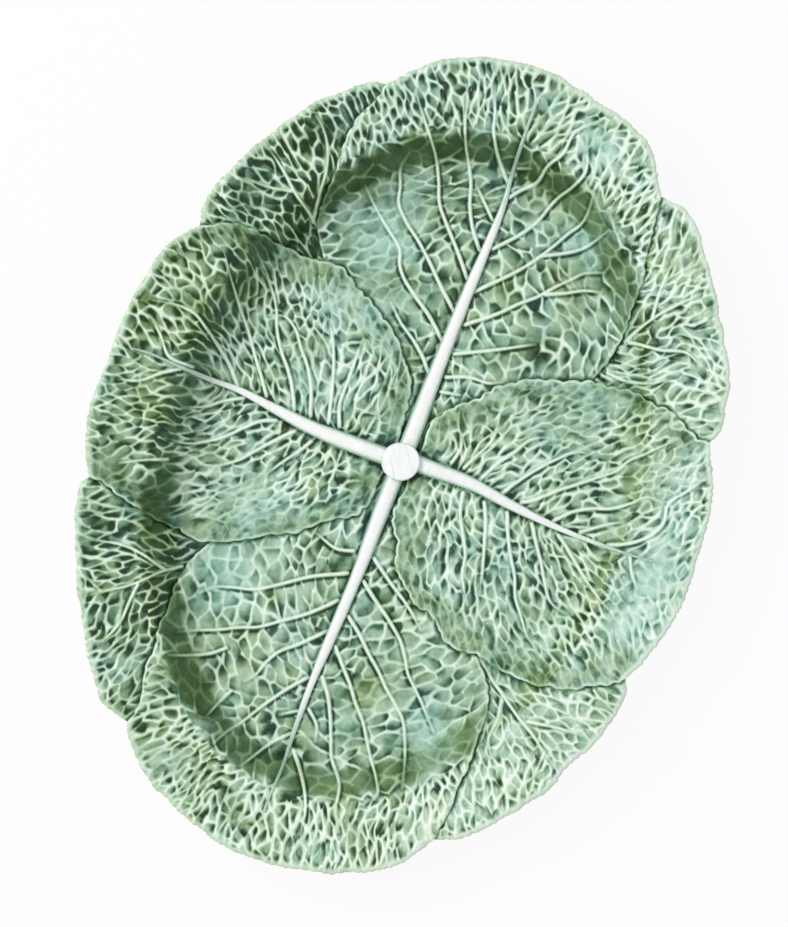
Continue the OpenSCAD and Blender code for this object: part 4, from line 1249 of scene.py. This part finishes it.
class PLATTER_OT_stem_end(Operator):
    """Build the cut stem's white end in the middle"""

    bl_idname = "platter.stem_end"
    bl_label = "Stem end"

    def execute(self, context):
        segments = 128
        turn = np.linspace(0, 2 * math.pi, segments, endpoint=False)
        # the rings on the cut face and over its worn edge: their share of the radius and their drop in mm
        shares = np.concatenate((np.linspace(0.04, 0.92, 22), (0.955, 0.98, 0.995, 1.0)))
        drops = np.concatenate((np.zeros(22), (0.1, 0.3, 0.62, 1.1)))
        wobble = 1 + 0.018 * soft_values(6 * np.cos(turn), 6 * np.sin(turn), 4, 600)

        def ring(share):
            reach = STEM_RADIUS * share * wobble
            return STEM_CENTRE[0] + reach * np.cos(turn), STEM_CENTRE[1] + reach * np.sin(turn)

        rows = []
        for share, drop in zip(shares, drops):
            px, py = ring(share)
            pz = STEM_TOP - drop - 0.35 * share**2 + 0.12 * soft_values(px, py, 3, 601)
            rows.append(np.stack((px, py, pz), 1))
        for height, share in ((STEM_TOP - 3.5, 1.005), (STEM_FOOT, 1.0)):
            rows.append(np.stack((*ring(share), np.full(segments, height)), 1))
        count = len(rows)
        middles = [(*STEM_CENTRE, STEM_TOP), (*STEM_CENTRE, STEM_FOOT)]
        points = np.vstack((*rows, middles))
        k, after = loop_edges(segments).T
        top = np.stack((np.full(segments, count * segments), k, after), 1)
        last = (count - 1) * segments
        bottom = np.stack((np.full(segments, count * segments + 1), last + after, last + k), 1)
        # how far out and down each point lies, which the glaze's tint follows
        rise = np.concatenate((np.repeat(shares, segments), np.full(2 * segments, 1.4), (0, 1.4)))
        flank = 0.3 * ease((rise - 0.88) / 0.12) + 0.5 * ease((rise - 1) / 0.4)
        piece = build_mesh("stem_end_glazed", points, [ring_quads(count, segments), top, bottom],
                           {"flank": flank}, None)
        brush_angle = math.radians(30)
        sizes = context.scene.platter_sizes
        glaze = rib_glaze(sizes, "Brushed clear glaze on the stem end", brush_angle)
        declare(piece, glaze, "stem_end")
        return {"FINISHED"}


class PLATTER_OT_foot_ring(Operator):
    """Build the oval foot with its rounded standing edge"""

    bl_idname = "platter.foot_ring"
    bl_label = "Foot ring"

    def execute(self, context):
        sizes = context.scene.platter_sizes
        segments = sizes.foot_segments
        turn = np.linspace(0, 2 * math.pi, segments, endpoint=False)
        # section of the ring: inward share of the band, height in mm
        section = [(0, 4.6), (0.02, 2.6), (0.05, 1.2), (0.13, 0.35), (0.25, 0.0), (0.5, 0.0), (0.75, 0.0),
                   (0.87, 0.35), (0.95, 1.2), (0.98, 2.6), (1.0, 4.6)]
        rows = [np.stack(((FOOT_LENGTH - FOOT_BAND * share) * np.cos(turn),
                          (FOOT_WIDTH - FOOT_BAND * share) * np.sin(turn), np.full(segments, height)), 1)
                for share, height in section]
        quads = ring_quads(len(rows), segments, joined=True)
        piece = build_mesh("foot_ring_clay", np.concatenate(rows), [quads], {}, None)
        declare(piece, foot_clay(sizes, "Bare earthenware foot"), "foot_ring")
        return {"FINISHED"}


class PLATTER_OT_stage(Operator):
    """Build the white floor, the soft light and the camera over the platter"""

    bl_idname = "platter.stage"
    bl_label = "Stage"

    def execute(self, context):
        scene = context.scene
        # the view is from straight above, turned so that the east leaf points up and a little right
        turn = math.radians(-70)
        middle = Vector((-0.2, 2.9, 45)) * MM
        seen_height = 473 * MM
        lens, sensor = 150.0, 36.0
        camera = bpy.data.objects.new("Camera", bpy.data.cameras.new("Camera"))
        camera.data.lens = lens
        camera.data.sensor_fit = "VERTICAL"
        camera.data.sensor_height = sensor
        camera.data.sensor_width = sensor
        camera.data.clip_end = 20
        camera.location = middle + Vector((0, 0, lens / sensor * seen_height))
        camera.rotation_euler = (0, 0, turn)
        scene.collection.objects.link(camera)
        scene.camera = camera

        reach = 3
        mesh = bpy.data.meshes.new("Floor")
        mesh.from_pydata([(-reach, -reach, 0), (reach, -reach, 0), (reach, reach, 0), (-reach, reach, 0)], [],
                         [(0, 1, 2, 3)])
        floor = bpy.data.objects.new("Floor", mesh)
        scene.collection.objects.link(floor)
        # to the camera and in reflections the paper is mostly plain white, so its shade stays faint
        material, tree, output = new_material("White paper floor")
        matt = add_node(tree, "ShaderNodeBsdfDiffuse", values={"Color": (0.85, 0.85, 0.85, 1)})
        path = add_node(tree, "ShaderNodeLightPath").outputs
        seen = maths(tree, "MAXIMUM", path["Is Camera Ray"], path["Is Glossy Ray"])
        shows = maths(tree, "MAXIMUM", seen, path["Is Transmission Ray"])
        glow = add_node(tree, "ShaderNodeEmission", values={"Strength": 1.0})
        both = add_node(tree, "ShaderNodeMixShader", links={
            0: maths(tree, "MULTIPLY", shows, 0.92), 1: matt.outputs[0], 2: glow.outputs[0]})
        tree.links.new(both.outputs[0], output.inputs["Surface"])
        mesh.materials.append(material)

        world = bpy.data.worlds.new("Soft surround")
        world.use_nodes = True
        tree = world.node_tree
        tree.nodes.clear()
        surround = add_node(tree, "ShaderNodeBackground", values={"Color": (1, 1, 1, 1), "Strength": 0.68})
        add_node(tree, "ShaderNodeOutputWorld", links={"Surface": surround.outputs[0]})
        scene.world = world

        # one large soft box from the picture's upper left
        lamp = bpy.data.lights.new("Softbox", "AREA")
        lamp.shape = "SQUARE"
        lamp.size = 0.9
        lamp.energy = 19
        box = bpy.data.objects.new("Softbox", lamp)
        bearing, rise, away = turn + math.radians(155), math.radians(50), 2.0
        box.location = away * Vector((math.cos(bearing) * math.cos(rise), math.sin(bearing) * math.cos(rise),
                                      math.sin(rise)))
        box.rotation_euler = box.location.to_track_quat("Z", "Y").to_euler()
        scene.collection.objects.link(box)
        scene.view_settings.view_transform = "Standard"
        return {"FINISHED"}


class PLATTER_PT_panel(Panel):
    """Lists the platter's pieces and sizes"""

    bl_label = "Platter"
    bl_idname = "PLATTER_PT_panel"
    bl_space_type = "VIEW_3D"
    bl_region_type = "UI"
    bl_category = "Platter"

    def draw(self, context):
        for step in STEPS:
            self.layout.operator(step.bl_idname)
        for name in PlatterSizes.__annotations__:
            self.layout.prop(context.scene.platter_sizes, name)


STEPS = (PLATTER_OT_stage, PLATTER_OT_large_leaves, PLATTER_OT_corner_leaves, PLATTER_OT_midribs,
         PLATTER_OT_stem_end, PLATTER_OT_foot_ring)
CLASSES = (PlatterSizes, *STEPS, PLATTER_PT_panel)


def register():
    for item in CLASSES:
        bpy.utils.register_class(item)
    bpy.types.Scene.platter_sizes = PointerProperty(type=PlatterSizes)


def unregister():
    del bpy.types.Scene.platter_sizes
    for item in reversed(CLASSES):
        bpy.utils.unregister_class(item)


def main():
    register()
    bpy.ops.platter.stage()
    bpy.ops.platter.large_leaves()
    bpy.ops.platter.corner_leaves()
    bpy.ops.platter.midribs()
    bpy.ops.platter.stem_end()
    bpy.ops.platter.foot_ring()


if __name__ == "__main__":
    main()
